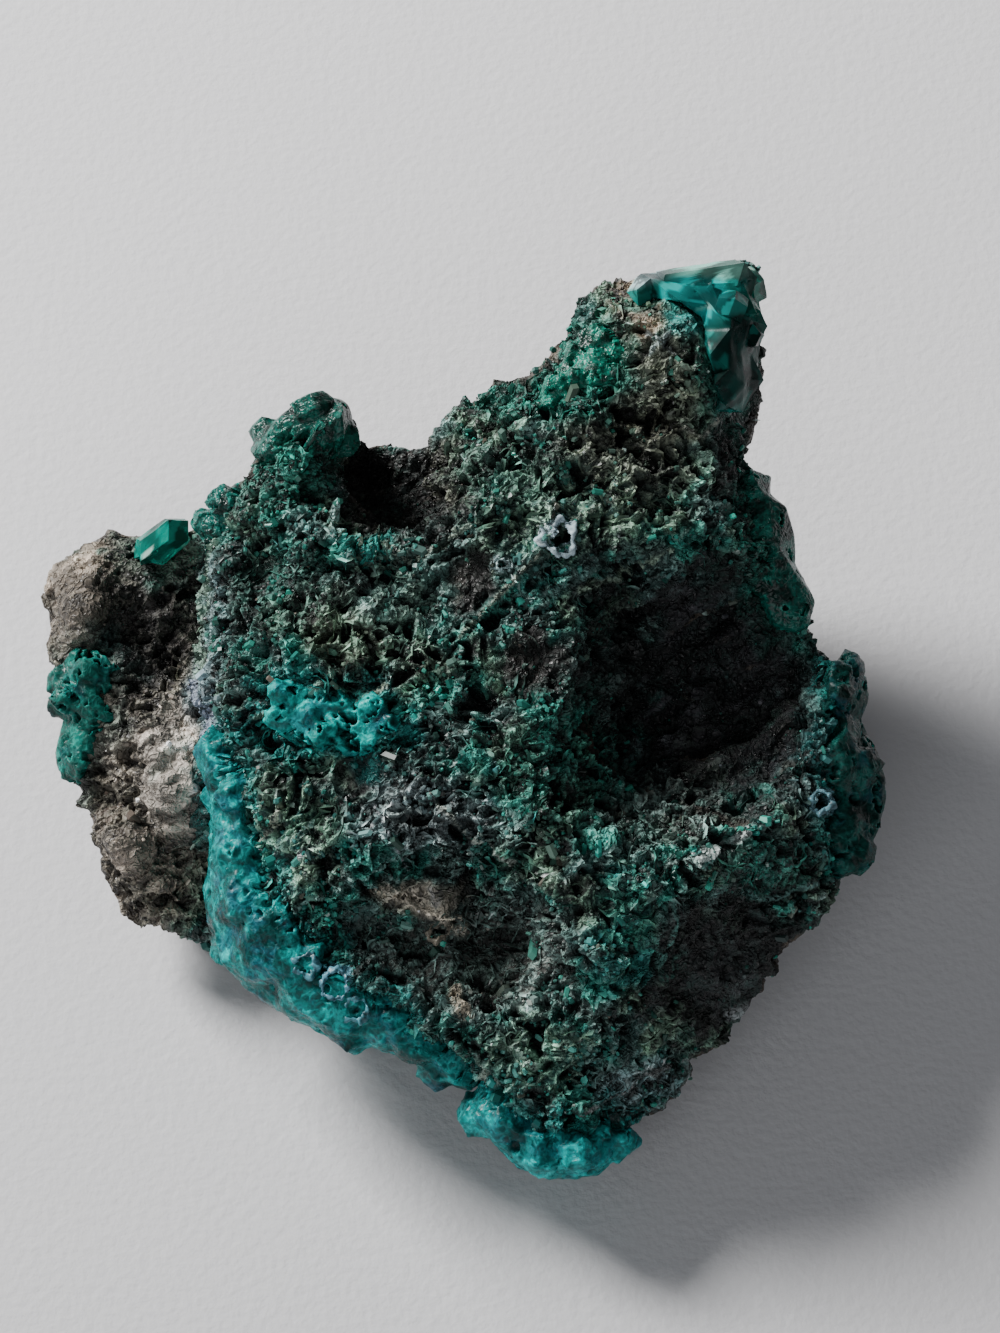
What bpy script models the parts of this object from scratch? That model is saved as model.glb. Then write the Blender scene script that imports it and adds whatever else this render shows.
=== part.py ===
"""Dioptase specimen: crusts and crystals of green copper silicate on a pitted, iron-stained host rock.

Run with: blender --background --python part.py
Lists of sizes are in millimetres and are multiplied by MM where they are used, so the scene is in metres.

The specimen is drawn from its show side. A place on it is (across, up, out): across runs to the right,
up runs up the show side, and out points straight out of it. The show side leans back: out is SHOW_LEAN
above the table.
"""
import math
import random

import bmesh
import bpy
from mathutils import Matrix, Vector, noise
from mathutils.bvhtree import BVHTree

MM = 0.001

# How the specimen lies on the table.
SHOW_LEAN = math.radians(60.0)          # the show side's normal above the table
MIDDLE = Vector((0.3, 0.95, 13.0))      # the middle of the show side
CENTRING = Vector((0.31, -0.50, 0.0))   # moves the finished pieces so that their middle is over the origin

ACROSS = Vector((1.0, 0.0, 0.0))
UP = Vector((0.0, math.sin(SHOW_LEAN), math.cos(SHOW_LEAN)))
OUT = Vector((0.0, -math.cos(SHOW_LEAN), math.sin(SHOW_LEAN)))

# The slab's edge as (across, up), clockwise from its upper left corner. It stands back under the crusts.
SLAB_EDGE = [
    (-15.3, 12.7), (-13.4, 13.6), (-12.8, 15.5), (-12.6, 16.9), (-10.9, 17.5), (-9.2, 17.7),
    (-8.0, 17.2), (-6.2, 16.4), (-4.6, 16.0), (-2.4, 16.0), (-1.4, 17.2), (0.0, 20.1), (2.4, 20.4),
    (4.8, 20.3), (5.2, 22.6), (6.2, 24.9), (8.2, 26.5), (10.0, 27.1), (12.8, 27.4), (16.7, 27.8),
    (17.6, 26.6), (17.4, 23.8), (17.6, 21.4),
    (17.4, 19.4), (16.7, 15.6), (17.6, 13.0), (18.3, 10.7), (19.2, 7.8), (19.6, 6.2), (22.1, 4.6),
    (23.1, 3.1),
    (23.8, -0.9), (24.8, -3.8), (24.4, -6.1), (23.3, -8.4), (21.6, -11.4), (18.7, -13.3), (17.7, -15.1),
    (17.3, -17.6), (14.4, -20.2), (12.2, -22.4), (9.6, -24.4), (7.4, -25.5), (5.6, -25.9), (4.0, -25.7),
    (2.9, -24.9), (2.1, -23.5), (1.2, -21.8), (-0.8, -20.2), (-3.1, -19.0), (-5.8, -18.4), (-8.7, -17.4),
    (-11.1, -15.9), (-13.1, -14.4), (-14.1, -12.7), (-14.4, -9.8), (-14.4, -6.9), (-14.6, -3.6),
    (-15.4, -0.6), (-16.3, 3.4), (-15.9, 7.0), (-15.5, 10.2),
]
# The lower block that sticks out on the left; its right half is buried in the slab.
BLOCK_EDGE = [
    (-25.4, 9.6), (-22.9, 10.7), (-19.8, 11.6), (-15.6, 12.6), (-10.5, 9.0), (-9.5, 0.0),
    (-11.0, -9.0), (-15.2, -13.9), (-17.2, -13.6), (-19.0, -12.9), (-20.8, -11.6), (-22.1, -9.9),
    (-23.1, -7.6), (-24.1, -6.2), (-24.2, -4.4), (-24.4, -2.2), (-24.3, -0.2), (-24.8, 2.4),
    (-26.0, 4.6), (-26.7, 6.9),
]
SLAB_CENTRE = (0.0, -0.5)
BLOCK_CENTRE = (-17.5, -1.0)
EDGE_TILT = -0.18           # the rim falls towards the show side's top by this much out per up
SLAB_RIM_OUT = 0.6          # where the rims cross the middle of the show side
BLOCK_RIM_OUT = -5.2
# From the rim to the middle of a show side: (share of the rim's distance from the centre, rise out of it).
SLAB_FRONT = [(0.985, 1.5), (0.95, 2.8), (0.88, 4.0), (0.76, 5.0), (0.58, 5.9), (0.36, 6.5), (0.16, 6.8)]
BLOCK_FRONT = [(0.97, 1.3), (0.88, 2.5), (0.72, 3.4), (0.5, 3.9), (0.25, 4.1)]
# From the rim down past the table: (share of the rim's distance from the foot's centre, share of the fall).
UNDERSIDE = [(0.965, 0.16), (0.89, 0.38), (0.79, 0.62), (0.70, 0.84), (0.64, 1.0), (0.3, 1.0)]
FOOT_DEPTH = 3.0            # how far the blocks reach below the table before the foot is cut
FOOT_CENTRE = Vector((-0.7, -0.05, 0.0))

# Lumps (rise above 0) and hollows (below 0): across, up, radius across, radius up, turn in degrees, rise,
# edge. An edge near 0 is a soft mound and near 1 a flat top with steep sides.
RELIEF = {
    "knob": (-10.3, 17.2, 3.0, 3.6, 0, 3.4, 0.5),
    "knob_stem": (-11.4, 13.2, 3.4, 4.6, 15, 1.9, 0.3),
    "blade": (-7.4, 11.4, 1.1, 2.2, 10, 1.6, 0.2),
    "ridge": (3.6, 15.4, 8.0, 3.4, 38, 1.6, 0.3),
    "peak": (12.6, 22.4, 5.2, 4.6, 20, 3.0, 0.4),
    "plateau": (6.2, 11.4, 8.5, 4.4, 12, 1.5, 0.4),
    "spine": (3.4, -2.4, 4.2, 8.5, 18, 1.5, 0.3),
    "left_mound": (-9.6, 5.0, 5.6, 6.4, 0, 0.9, 0.3),
    "low_mound": (-8.6, -7.4, 5.0, 4.6, 0, 0.9, 0.3),
    "right_rim": (22.4, -4.2, 3.2, 5.6, 18, 2.2, 0.4),
    "shelf": (15.4, -8.2, 6.6, 2.9, 14, 2.6, 0.6),
    "low_spine": (8.0, -13.4, 3.4, 6.4, 22, 1.8, 0.3),
    "tip": (4.2, -25.2, 3.4, 2.8, 0, 0.8, 0.3),
    "notch": (-4.9, 14.0, 4.1, 4.0, 0, -4.6, 0.5),
    "bowl": (14.2, 1.2, 7.8, 8.0, -12, -7.0, 0.45),
    "bowl_tail": (9.2, -2.2, 5.2, 4.2, 20, -2.8, 0.3),
    "bowl_gully": (9.4, 6.6, 2.2, 4.4, 10, -1.6, 0.3),
    "low_hollow": (-0.4, -12.8, 6.2, 4.3, -16, -3.0, 0.4),
    "low_hollow_tail": (3.0, -17.4, 3.6, 4.0, 0, -1.2, 0.3),
    "left_hollow": (-11.8, 8.8, 2.6, 2.2, -20, -1.5, 0.3),
    "rim_hollow": (-11.8, -8.2, 2.2, 1.8, 0, -1.2, 0.3),
    "mid_hollow": (-3.2, 6.2, 2.2, 1.5, 30, -1.3, 0.4),
    "eye": (5.2, 10.5, 1.0, 1.0, 0, -1.6, 0.5),
    "slot": (6.2, 13.3, 2.0, 0.9, 5, -1.6, 0.4),
    "pit": (10.6, 13.0, 1.2, 0.8, 0, -1.2, 0.4),
    "crack": (0.8, 3.0, 1.8, 0.9, 35, -1.2, 0.4),
    "lip_pit": (15.8, -5.6, 1.6, 1.0, 0, -1.8, 0.4),
    "upper_step": (-16.9, 6.0, 1.3, 6.0, 2, -1.8, 0.5),
    "lower_step": (-16.4, -7.4, 1.3, 6.4, 6, -1.8, 0.5),
    "block_hollow": (-19.8, 4.8, 3.0, 3.8, 10, -1.9, 0.4),
    "block_pit": (-21.2, -4.4, 1.4, 1.1, 0, -1.4, 0.4),
    "block_dip": (-18.6, -8.2, 2.0, 2.4, 0, -1.2, 0.4),
    "block_knuckle": (-24.0, 7.4, 2.0, 2.4, 0, 1.2, 0.4),
    "block_ridge": (-17.4, -3.2, 2.6, 3.0, 20, 1.3, 0.3),
}
# Broken faces that cut the show side back to a plane: a point (across, up, out) and the fall of out per mm.
BROKEN_FACES = {
    "lower_right": ((13.6, -14.2, 6.6), (-0.62, 0.42)),
    "right_shoulder": ((18.2, 12.0, 3.0), (-1.05, -0.15)),
}

# Lumps and hollows of the other sides, as balls: (x, y, z) from the foot's centre, radius, rise.
BACK_RELIEF = {
    "back_scoop": ((6.0, 25.0, 13.0), 8.0, -2.6),
    "back_boss": ((-9.0, 20.0, 12.0), 6.5, 1.8),
    "back_step": ((15.0, 20.0, 6.0), 6.0, -1.8),
    "right_scoop": ((23.0, 4.0, 6.0), 6.0, -1.7),
    "left_scoop": ((-24.0, -2.0, 4.0), 5.0, -1.3),
    "front_undercut": ((-6.0, -18.0, 3.0), 6.0, -1.6),
}

# Grain of the broken rock: size of the chips, how far they stand out, and the finer roughness on them.
CHIP_SIZE, CHIP_RISE = 4.6, 0.62
LUMP_SIZE, LUMP_RISE = 2.6, 0.42
PIT_SIZE, PIT_DEPTH = 2.9, 0.55
VOXEL_SHAPE = 0.75          # while the blocks are fused and carved
VOXEL_GRAIN = 0.62          # while the grain is cut
VOXEL_FINE = 0.48           # once it is cut
ROCK_TRIANGLES = 4500

# Crusts and crystals.
GAP = 0.30                  # between a crust and the rock
CRUST_RIM = 0.25            # thickness of a crust at its own edge
ROOT_DEPTH = 0.12           # how far a crystal's root stays above its crust's underside
CRUST_SHARE = 0.34          # of a crust's triangles that are kept
CRYSTAL_SLOPE = 1.233       # of dioptase's end faces: tan 51 degrees

# Where each crust grows: its patches as (across, up, out, radius), its thickness, and its small crystals as
# (count, radius, how far they stand out, lean in degrees, slope of their ends).
CRUSTS = {
    "left_rim_crust": (
        [(-15.0, -2.4, 2.6, 2.0), (-15.2, -5.0, 2.6, 2.6), (-14.4, -8.0, 3.2, 3.2), (-14.2, -11.0, 3.4, 3.8),
         (-12.8, -13.2, 3.8, 4.2), (-10.4, -15.2, 4.0, 4.2), (-7.4, -16.6, 4.2, 4.0),
         (-4.8, -17.6, 4.2, 3.6), (-2.4, -18.6, 4.4, 2.8), (-0.6, -20.4, 4.6, 2.2)],
        1.25, (7, 1.15, 0.30, 35, 0.8)),
    "tip_crust": (
        [(2.2, -23.6, 5.4, 2.8), (4.2, -25.4, 4.6, 3.8), (6.8, -25.2, 4.6, 2.6)],
        1.30, (4, 1.2, 0.25, 30, 0.7)),
    "peak_crystals": (
        [(11.0, 26.6, 0.6, 2.0), (13.6, 26.4, 1.4, 2.6), (16.2, 26.4, 1.4, 2.6),
         (16.9, 23.4, 1.4, 2.4), (17.0, 20.6, 1.4, 3.0)],
        0.70, (3, 1.0, 0.25, 25, 0.8)),
    "shoulder_crust": (
        [(17.3, 13.2, -0.6, 2.0), (18.3, 11.0, -0.2, 2.5), (19.0, 8.2, 0.2, 2.5), (19.3, 6.4, 0.6, 2.0)],
        0.75, (0, 1.0, 0.3, 30, 0.8)),
    "right_rim_crust": (
        [(22.8, 1.0, 0.8, 2.2), (23.6, -2.0, 1.4, 2.8), (24.4, -4.8, 1.8, 3.0), (23.8, -7.4, 2.2, 2.6)],
        0.80, (5, 1.05, 0.25, 30, 0.7)),
    "knob_crust": (
        [(-11.2, 16.8, 1.4, 2.6), (-9.3, 17.4, 1.4, 2.8)],
        0.70, (4, 1.25, 0.35, 35, 1.0)),
    "corner_crust": (
        [(-16.2, 11.6, -0.8, 1.8), (-14.2, 12.9, 0.4, 2.0)],
        0.60, (3, 0.95, 0.35, 40, 1.0)),
    "block_crystal": (
        [(-19.4, 11.3, -3.8, 2.1)],
        0.60, (0, 1.0, 0.3, 30, 1.0)),
    "block_crust": (
        [(-23.2, 2.6, -1.8, 2.2), (-23.6, 0.4, -2.2, 2.6), (-23.9, -2.4, -2.8, 2.2)],
        0.65, (4, 0.95, 0.25, 35, 0.8)),
    "centre_crust": (
        [(-10.4, 0.4, 6.0, 2.0), (-8.4, -0.4, 6.2, 2.3), (-6.2, -0.8, 6.4, 2.3)],
        0.60, (5, 0.9, 0.30, 35, 0.8)),
    "ridge_crust": (
        [(5.4, 18.5, 1.8, 2.1), (7.4, 21.0, 1.6, 2.5)],
        0.60, (4, 0.95, 0.30, 35, 1.0)),
}

# The larger crystals, each with a place of its own: where it meets the rock (across, up, out), which way its
# long axis points, its radius and length, the slope of its ends, and how far its middle is off the rock.
LARGE_CRYSTALS = {
    "peak_crystals": [
        ((13.9, 27.0, 1.2), (0.98, 0.14, 0.10), 1.35, 6.6, 0.9, 0.15),
        ((17.0, 26.2, 1.2), (0.50, 0.60, 0.62), 1.90, 4.6, 0.7, -0.80),
        ((17.0, 23.0, 1.6), (0.62, 0.10, 0.78), 2.00, 3.2, 0.35, -0.75),
        ((17.1, 20.1, 1.6), (0.60, -0.10, 0.79), 2.30, 3.4, 0.30, -0.80),
    ],
    "shoulder_crust": [
        ((17.5, 12.9, -0.4), (0.80, 0.25, 0.55), 1.45, 2.6, 0.40, -0.50),
        ((18.3, 10.4, 0.0), (0.82, 0.00, 0.57), 1.70, 2.8, 0.35, -0.55),
        ((19.1, 7.6, 0.4), (0.84, -0.10, 0.53), 1.60, 2.8, 0.40, -0.50),
    ],
    "block_crystal": [
        ((-19.4, 11.4, -3.6), (0.78, 0.55, 0.30), 1.45, 4.2, 0.9, 0.50),
        ((-17.5, 12.3, -2.8), (0.40, 0.75, 0.52), 0.85, 2.4, 1.0, 0.25),
    ],
}

# Colour and roughness of each piece.
MATERIALS = {
    "host_rock": ((0.16, 0.14, 0.11), 0.85),
    "left_rim_crust": ((0.02, 0.30, 0.27), 0.35),
    "tip_crust": ((0.01, 0.27, 0.24), 0.35),
    "peak_crystals": ((0.03, 0.34, 0.28), 0.15),
    "shoulder_crust": ((0.01, 0.20, 0.14), 0.25),
    "right_rim_crust": ((0.02, 0.30, 0.25), 0.30),
    "knob_crust": ((0.02, 0.27, 0.20), 0.25),
    "corner_crust": ((0.01, 0.24, 0.17), 0.25),
    "block_crystal": ((0.01, 0.30, 0.20), 0.10),
    "block_crust": ((0.03, 0.30, 0.25), 0.35),
    "centre_crust": ((0.03, 0.34, 0.29), 0.30),
    "ridge_crust": ((0.01, 0.26, 0.16), 0.25),
}


def show_point(across, up, out):
    """A place on the show side as a point in space, in metres."""
    return (MIDDLE + ACROSS * across + UP * up + OUT * out) * MM


def show_place(point):
    """The (across, up, out) of a point in space."""
    offset = point / MM - MIDDLE
    return offset.dot(ACROSS), offset.dot(UP), offset.dot(OUT)


def smooth(low, high, x):
    t = min(1.0, max(0.0, (x - low) / (high - low)))
    return t * t * (3 - 2 * t)


def mesh_object(name, bm):
    bm.normal_update()
    mesh = bpy.data.meshes.new(name)
    bm.to_mesh(mesh)
    bm.free()
    obj = bpy.data.objects.new(name, mesh)
    bpy.context.scene.collection.objects.link(obj)
    return obj


def bake_modifiers(obj):
    """Puts an object's modifiers into its mesh."""
    graph = bpy.context.evaluated_depsgraph_get()
    graph.update()
    baked = bpy.data.meshes.new_from_object(obj.evaluated_get(graph), depsgraph=graph)
    old = obj.data
    obj.modifiers.clear()
    obj.data = baked
    bpy.data.meshes.remove(old)


def boolean(obj, operation, other):
    step = obj.modifiers.new(operation, "BOOLEAN")
    step.operation = operation
    step.solver = "EXACT"
    step.use_self = True
    step.object = other
    bake_modifiers(obj)


def connected(faces):
    """The faces grouped into pieces that hang together by their edges, largest piece last."""
    pieces, waiting = [], set(faces)
    while waiting:
        piece, reached = [], [min(waiting, key=lambda f: f.index)]
        while reached:
            face = reached.pop()
            if face in waiting:
                waiting.remove(face)
                piece.append(face)
                reached += [other for edge in face.edges for other in edge.link_faces]
        pieces.append(piece)
    return sorted(pieces, key=len)


def drop_chips(obj):
    """Removes every loose fragment but the largest."""
    bm = bmesh.new()
    bm.from_mesh(obj.data)
    for piece in connected(bm.faces)[:-1]:
        bmesh.ops.delete(bm, geom=piece, context="FACES")
    bm.to_mesh(obj.data)
    bm.free()


def is_sound(obj):
    """True where every edge has a face on each side and no other."""
    bm = bmesh.new()
    bm.from_mesh(obj.data)
    sound = all(edge.is_manifold for edge in bm.edges)
    bm.free()
    return sound


def voxel_remesh(obj, size):
    remesh = obj.modifiers.new("Fuse", "REMESH")
    remesh.mode = "VOXEL"
    remesh.voxel_size = size * MM
    bake_modifiers(obj)


# ---------------------------------------------------------------- host rock

def softened(edge, reach):
    """The edge with each point moved to the mean of its neighbours, for the calmer lines inside the rim."""
    count = len(edge)
    soft = []
    for i in range(count):
        near = [Vector(edge[(i + k) % count]) for k in range(-reach, reach + 1)]
        soft.append(sum(near, Vector((0.0, 0.0))) / len(near))
    return soft


def block(name, edge, centre, rim_out, front):
    """A closed block: its rim follows the edge, its front bulges and its underside narrows to the table."""
    bm = bmesh.new()
    middle = Vector(centre)

    def rim_at(across, up):
        return rim_out + EDGE_TILT * up

    rings = []
    for number, (share, rise) in enumerate(reversed(front)):
        reach = len(front) - number
        ring = []
        for place in softened(edge, reach):
            p = middle + (place - middle) * share
            ring.append(show_point(p.x, p.y, rim_at(p.x, p.y) + rise))
        rings.append(ring)
    rim = [show_point(x, y, rim_at(x, y)) for x, y in edge]
    rings.append(rim)
    foot = FOOT_CENTRE.xy * MM
    for share, fall in UNDERSIDE:
        ring = []
        for p in rim:
            flat = foot + (p.xy - foot) * share
            ring.append(Vector((flat.x, flat.y, p.z - (p.z + FOOT_DEPTH * MM) * fall)))
        rings.append(ring)

    verts = [[bm.verts.new(p) for p in ring] for ring in rings]
    count = len(edge)
    for inner, outer in zip(verts, verts[1:]):
        for i in range(count):
            j = (i + 1) % count
            bm.faces.new((inner[i], inner[j], outer[j], outer[i]))
    for ring in (verts[0], verts[-1]):
        hub = bm.verts.new(sum((v.co for v in ring), Vector()) / count)
        for i in range(count):
            bm.faces.new((hub, ring[i], ring[(i + 1) % count]))
    bmesh.ops.recalc_face_normals(bm, faces=bm.faces)
    return mesh_object(name, bm)


def bump(across, up, feature):
    """How far one lump or hollow moves a place on the show side."""
    x, y, radius_x, radius_y, turn, rise, edge = feature
    angle = math.radians(turn)
    dx, dy = across - x, up - y
    along = (dx * math.cos(angle) + dy * math.sin(angle)) / radius_x
    aside = (dy * math.cos(angle) - dx * math.sin(angle)) / radius_y
    distance = math.hypot(along, aside)
    if distance >= 1.35:
        return 0.0
    wobble = 1 + 0.16 * noise.noise(Vector((across, up, x)) * 0.45)
    return rise * (1 - smooth(edge * 0.75, 1.0 + (1 - edge) * 0.35, distance * wobble))


def carve_show_side(obj):
    """Moves the faces that look out of the show side by the relief, then cuts the broken faces."""
    for vertex in obj.data.vertices:
        facing = smooth(0.05, 0.55, vertex.normal.dot(OUT))
        if facing == 0:
            continue
        across, up, out = show_place(vertex.co)
        moved = out + facing * sum(bump(across, up, feature) for feature in RELIEF.values())
        for (x, y, height), (fall_x, fall_y) in BROKEN_FACES.values():
            plane = height + fall_x * (across - x) + fall_y * (up - y)
            if moved > plane:
                moved = max(plane, out - 3.5) + (moved - plane) * 0.08
        vertex.co += OUT * (moved - out) * MM


def carve_other_sides(obj):
    moves = []
    for vertex in obj.data.vertices:
        rise = 0.0
        for place, radius, height in BACK_RELIEF.values():
            distance = (vertex.co / MM - FOOT_CENTRE - Vector(place)).length / radius
            rise += height * (1 - smooth(0.2, 1.0, distance))
        moves.append(vertex.normal * rise * MM)
    for vertex, move in zip(obj.data.vertices, moves):
        vertex.co += move


def chipped(point):
    """Height of the rock's grain at a point in mm: tilted chips with ledges between, lumps and round pits."""
    drift = [noise.noise(point * 0.3 + Vector((0, 0, 17.0 * axis))) for axis in range(3)]
    warped = point + Vector(drift) * 0.9
    distances, centres = noise.voronoi(warped / CHIP_SIZE)
    tilt = noise.cell_vector(centres[0] * 7.3) - Vector((0.5, 0.5, 0.5))
    seam = 1 - smooth(0.0, 0.22, distances[1] - distances[0])
    chips = (warped / CHIP_SIZE - centres[0]).dot(tilt) * 2.2 - 0.35 * seam
    lumps = noise.fractal(point / LUMP_SIZE, 0.9, 2.1, 3)
    pit_distances, pit_centres = noise.voronoi(point / PIT_SIZE + Vector((11.0, 5.0, 2.0)))
    pits = -(1 - smooth(0.16, 0.42, pit_distances[0]))
    return CHIP_RISE * chips + LUMP_RISE * lumps + PIT_DEPTH * pits


def cut_grain(obj):
    heights = [chipped(vertex.co / MM) for vertex in obj.data.vertices]
    moves = [vertex.normal * height * MM for vertex, height in zip(obj.data.vertices, heights)]
    for vertex, move in zip(obj.data.vertices, moves):
        vertex.co += move


def thin_out(obj, triangles):
    """Collapses the mesh to about this many triangles."""
    obj.data.calc_loop_triangles()
    decimate = obj.modifiers.new("Thin out", "DECIMATE")
    decimate.ratio = min(1.0, triangles / len(obj.data.loop_triangles))
    decimate.use_collapse_triangulate = True
    bake_modifiers(obj)


def cut_foot(obj):
    """Breaks the underside off flat at the table, so that the specimen stands on one plane."""
    bpy.ops.mesh.primitive_cube_add(size=0.1, location=(0, 0, -0.05))
    table = bpy.context.active_object
    boolean(obj, "DIFFERENCE", table)
    bpy.data.objects.remove(table)
    drop_chips(obj)


def host_rock():
    slab = block("host_rock", SLAB_EDGE, SLAB_CENTRE, SLAB_RIM_OUT, SLAB_FRONT)
    lower = block("lower_block", BLOCK_EDGE, BLOCK_CENTRE, BLOCK_RIM_OUT, BLOCK_FRONT)
    boolean(slab, "UNION", lower)
    bpy.data.objects.remove(lower)
    voxel_remesh(slab, VOXEL_SHAPE)
    carve_show_side(slab)
    carve_other_sides(slab)
    voxel_remesh(slab, VOXEL_GRAIN)
    cut_grain(slab)
    voxel_remesh(slab, VOXEL_FINE)
    thin_out(slab, ROCK_TRIANGLES)
    cut_foot(slab)
    return slab


# ---------------------------------------------------------------- materials

def paint(obj):
    (red, green, blue), roughness = MATERIALS[obj.name]
    material = bpy.data.materials.new(obj.name)
    material.use_nodes = True
    shader = material.node_tree.nodes["Principled BSDF"]
    shader.inputs["Base Color"].default_value = (red, green, blue, 1.0)
    shader.inputs["Roughness"].default_value = roughness
    shader.inputs["Metallic"].default_value = 0.0
    obj.data.materials.clear()
    obj.data.materials.append(material)


# ---------------------------------------------------------------- crusts and crystals

def add_crystal(bm, place, axis, radius, length, turn, slope=CRYSTAL_SLOPE):
    """One dioptase crystal: a six-sided prism with three rhombs at each end, set every other way round."""
    cap = slope * radius
    frame = axis.to_track_quat("Z", "Y").to_matrix().to_4x4() @ Matrix.Rotation(turn, 4, "Z")
    frame.translation = place
    rings = []
    for end in (1, -1):
        ring = []
        for corner in range(6):
            angle = math.radians(60 * corner)
            near_rhomb = (corner % 2 == 0) == (end == 1)
            height = end * (length / 2 - cap * (1.0 if near_rhomb else 0.5))
            corner_place = Vector((radius * math.cos(angle), radius * math.sin(angle), height))
            ring.append(bm.verts.new(frame @ corner_place))
        rings.append(ring)
    top, bottom = rings
    for ring, end, first in ((top, 1, 0), (bottom, -1, 1)):
        apex = bm.verts.new(frame @ Vector((0, 0, end * length / 2)))
        for corner in range(first, 6, 2):
            face = [apex, ring[corner - 1], ring[corner], ring[(corner + 1) % 6]]
            bm.faces.new(face if end == 1 else face[::-1])
    for corner in range(6):
        after = (corner + 1) % 6
        bm.faces.new((top[corner], bottom[corner], bottom[after], top[after]))


def covered_faces(ground, cover):
    """The rock's faces under a crust: one patch whose edge never touches itself."""
    patch = {face for face in ground.faces if all(cover(v.co) > 0 for v in face.verts)}
    pinched = True
    while pinched:
        pinched = set()
        for vert in {v for face in patch for v in face.verts}:
            if sum(sum(f in patch for f in e.link_faces) == 1 for e in vert.link_edges) > 2:
                pinched.add(vert)
        patch = {face for face in patch if not pinched.intersection(face.verts)}
    return sorted(connected(patch)[-1], key=lambda f: f.index)


def crust_plate(faces, cover, thickness):
    """A closed plate that follows the rock's faces, GAP off them, thinning out to its edge."""
    plate = bmesh.new()
    under, over = {}, {}
    for vert in sorted({v for face in faces for v in face.verts}, key=lambda v: v.index):
        swell = 1 + 0.45 * noise.fractal(vert.co / MM / 1.7, 0.9, 2.0, 2)
        depth = CRUST_RIM + (thickness - CRUST_RIM) * smooth(0.0, 0.5, cover(vert.co)) * swell
        calm = sum((e.other_vert(vert).normal for e in vert.link_edges), vert.normal * 2).normalized()
        under[vert] = plate.verts.new(vert.co + vert.normal * GAP * MM)
        over[vert] = plate.verts.new(under[vert].co + calm * depth * MM)
    for face in faces:
        plate.faces.new([over[v] for v in face.verts])
        plate.faces.new([under[v] for v in reversed(face.verts)])
    inside = set(faces)
    for face in faces:
        for loop in face.loops:
            if sum(f in inside for f in loop.edge.link_faces) == 1:
                start, end = loop.vert, loop.link_loop_next.vert
                plate.faces.new((over[end], over[start], under[start], under[end]))
    plate.normal_update()
    plate.faces.index_update()
    return plate


def grow_crystals(plate, cover, seed, thickness, count, radius, stand, lean, slope):
    """The small crystals of one crust, each rooted where the crust is thick."""
    draw = random.Random(seed)
    depth = (GAP + thickness) * MM
    tops = [face for face in plate.faces if face.index % 2 == 0 and len(face.verts) == 3]
    tops = [face for face in tops if cover(face.calc_center_median() - face.normal * depth) > 0.3]
    crystals, taken = bmesh.new(), []
    for _ in range(count * 30):
        if len(taken) == count:
            break
        face = draw.choice(tops)
        place = face.calc_center_median()
        size = radius * draw.uniform(0.7, 1.25)
        if any((place - other).length < (size + reach) * 0.75 * MM for other, reach in taken):
            continue
        taken.append((place, size))
        side = Vector((draw.gauss(0, 1), draw.gauss(0, 1), draw.gauss(0, 1))).normalized()
        axis = (face.normal + side * math.tan(math.radians(lean)) * draw.uniform(0.2, 1)).normalized()
        top = stand * draw.uniform(0.7, 1.4) + 0.6 * slope * size
        root = 1.6 * size
        add_crystal(crystals, place + axis * (top - root) / 2 * MM, axis, size * MM, (top + root) * MM,
                    draw.uniform(0, math.pi), slope)
    return crystals


def add_large_crystals(crystals, name, surface, deeper):
    """The crystals of a node that have a place of their own, set deeper by some millimetres."""
    for spot, (x, y, out), radius, length, slope, off in LARGE_CRYSTALS.get(name, []):
        root, normal = surface.find_nearest(show_point(*spot))[:2]
        axis = (ACROSS * x + UP * y + OUT * out).normalized()
        add_crystal(crystals, root + normal * (off - deeper) * MM, axis, radius * MM, length * MM, 0.3, slope)


def crust(name, ground, swollen_rock, seed):
    """One crust with its crystals. One that touches itself is grown again: smaller, thinner and finer."""
    patches, thickness, small_crystals = CRUSTS[name]
    surface = BVHTree.FromBMesh(ground)
    roots = [(surface.find_nearest(show_point(x, y, out))[0], reach * MM) for x, y, out, reach in patches]
    for attempt in range(8):
        shrink = 1 - 0.03 * attempt

        def cover(place):
            return max(1 - (place - root).length / (reach * shrink) for root, reach in roots)

        faces = covered_faces(ground, cover)
        thickness *= 1 - 0.06 * attempt
        body = crust_plate(faces, cover, thickness)
        crystals = grow_crystals(body, cover, seed + 100 * attempt, thickness, *small_crystals)
        add_large_crystals(crystals, name, surface, 0.04 * attempt)
        crystals = mesh_object("crystals", crystals)
        boolean(crystals, "DIFFERENCE", swollen_rock)
        plate = mesh_object(name, body)
        plate.data.calc_loop_triangles()
        thin_out(plate, (CRUST_SHARE + 0.04 * attempt) * len(plate.data.loop_triangles))
        boolean(plate, "UNION", crystals)
        bpy.data.objects.remove(crystals)
        drop_chips(plate)
        if is_sound(plate):
            paint(plate)
            return
        bpy.data.objects.remove(plate)
    raise RuntimeError(name + " touches itself")


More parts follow.
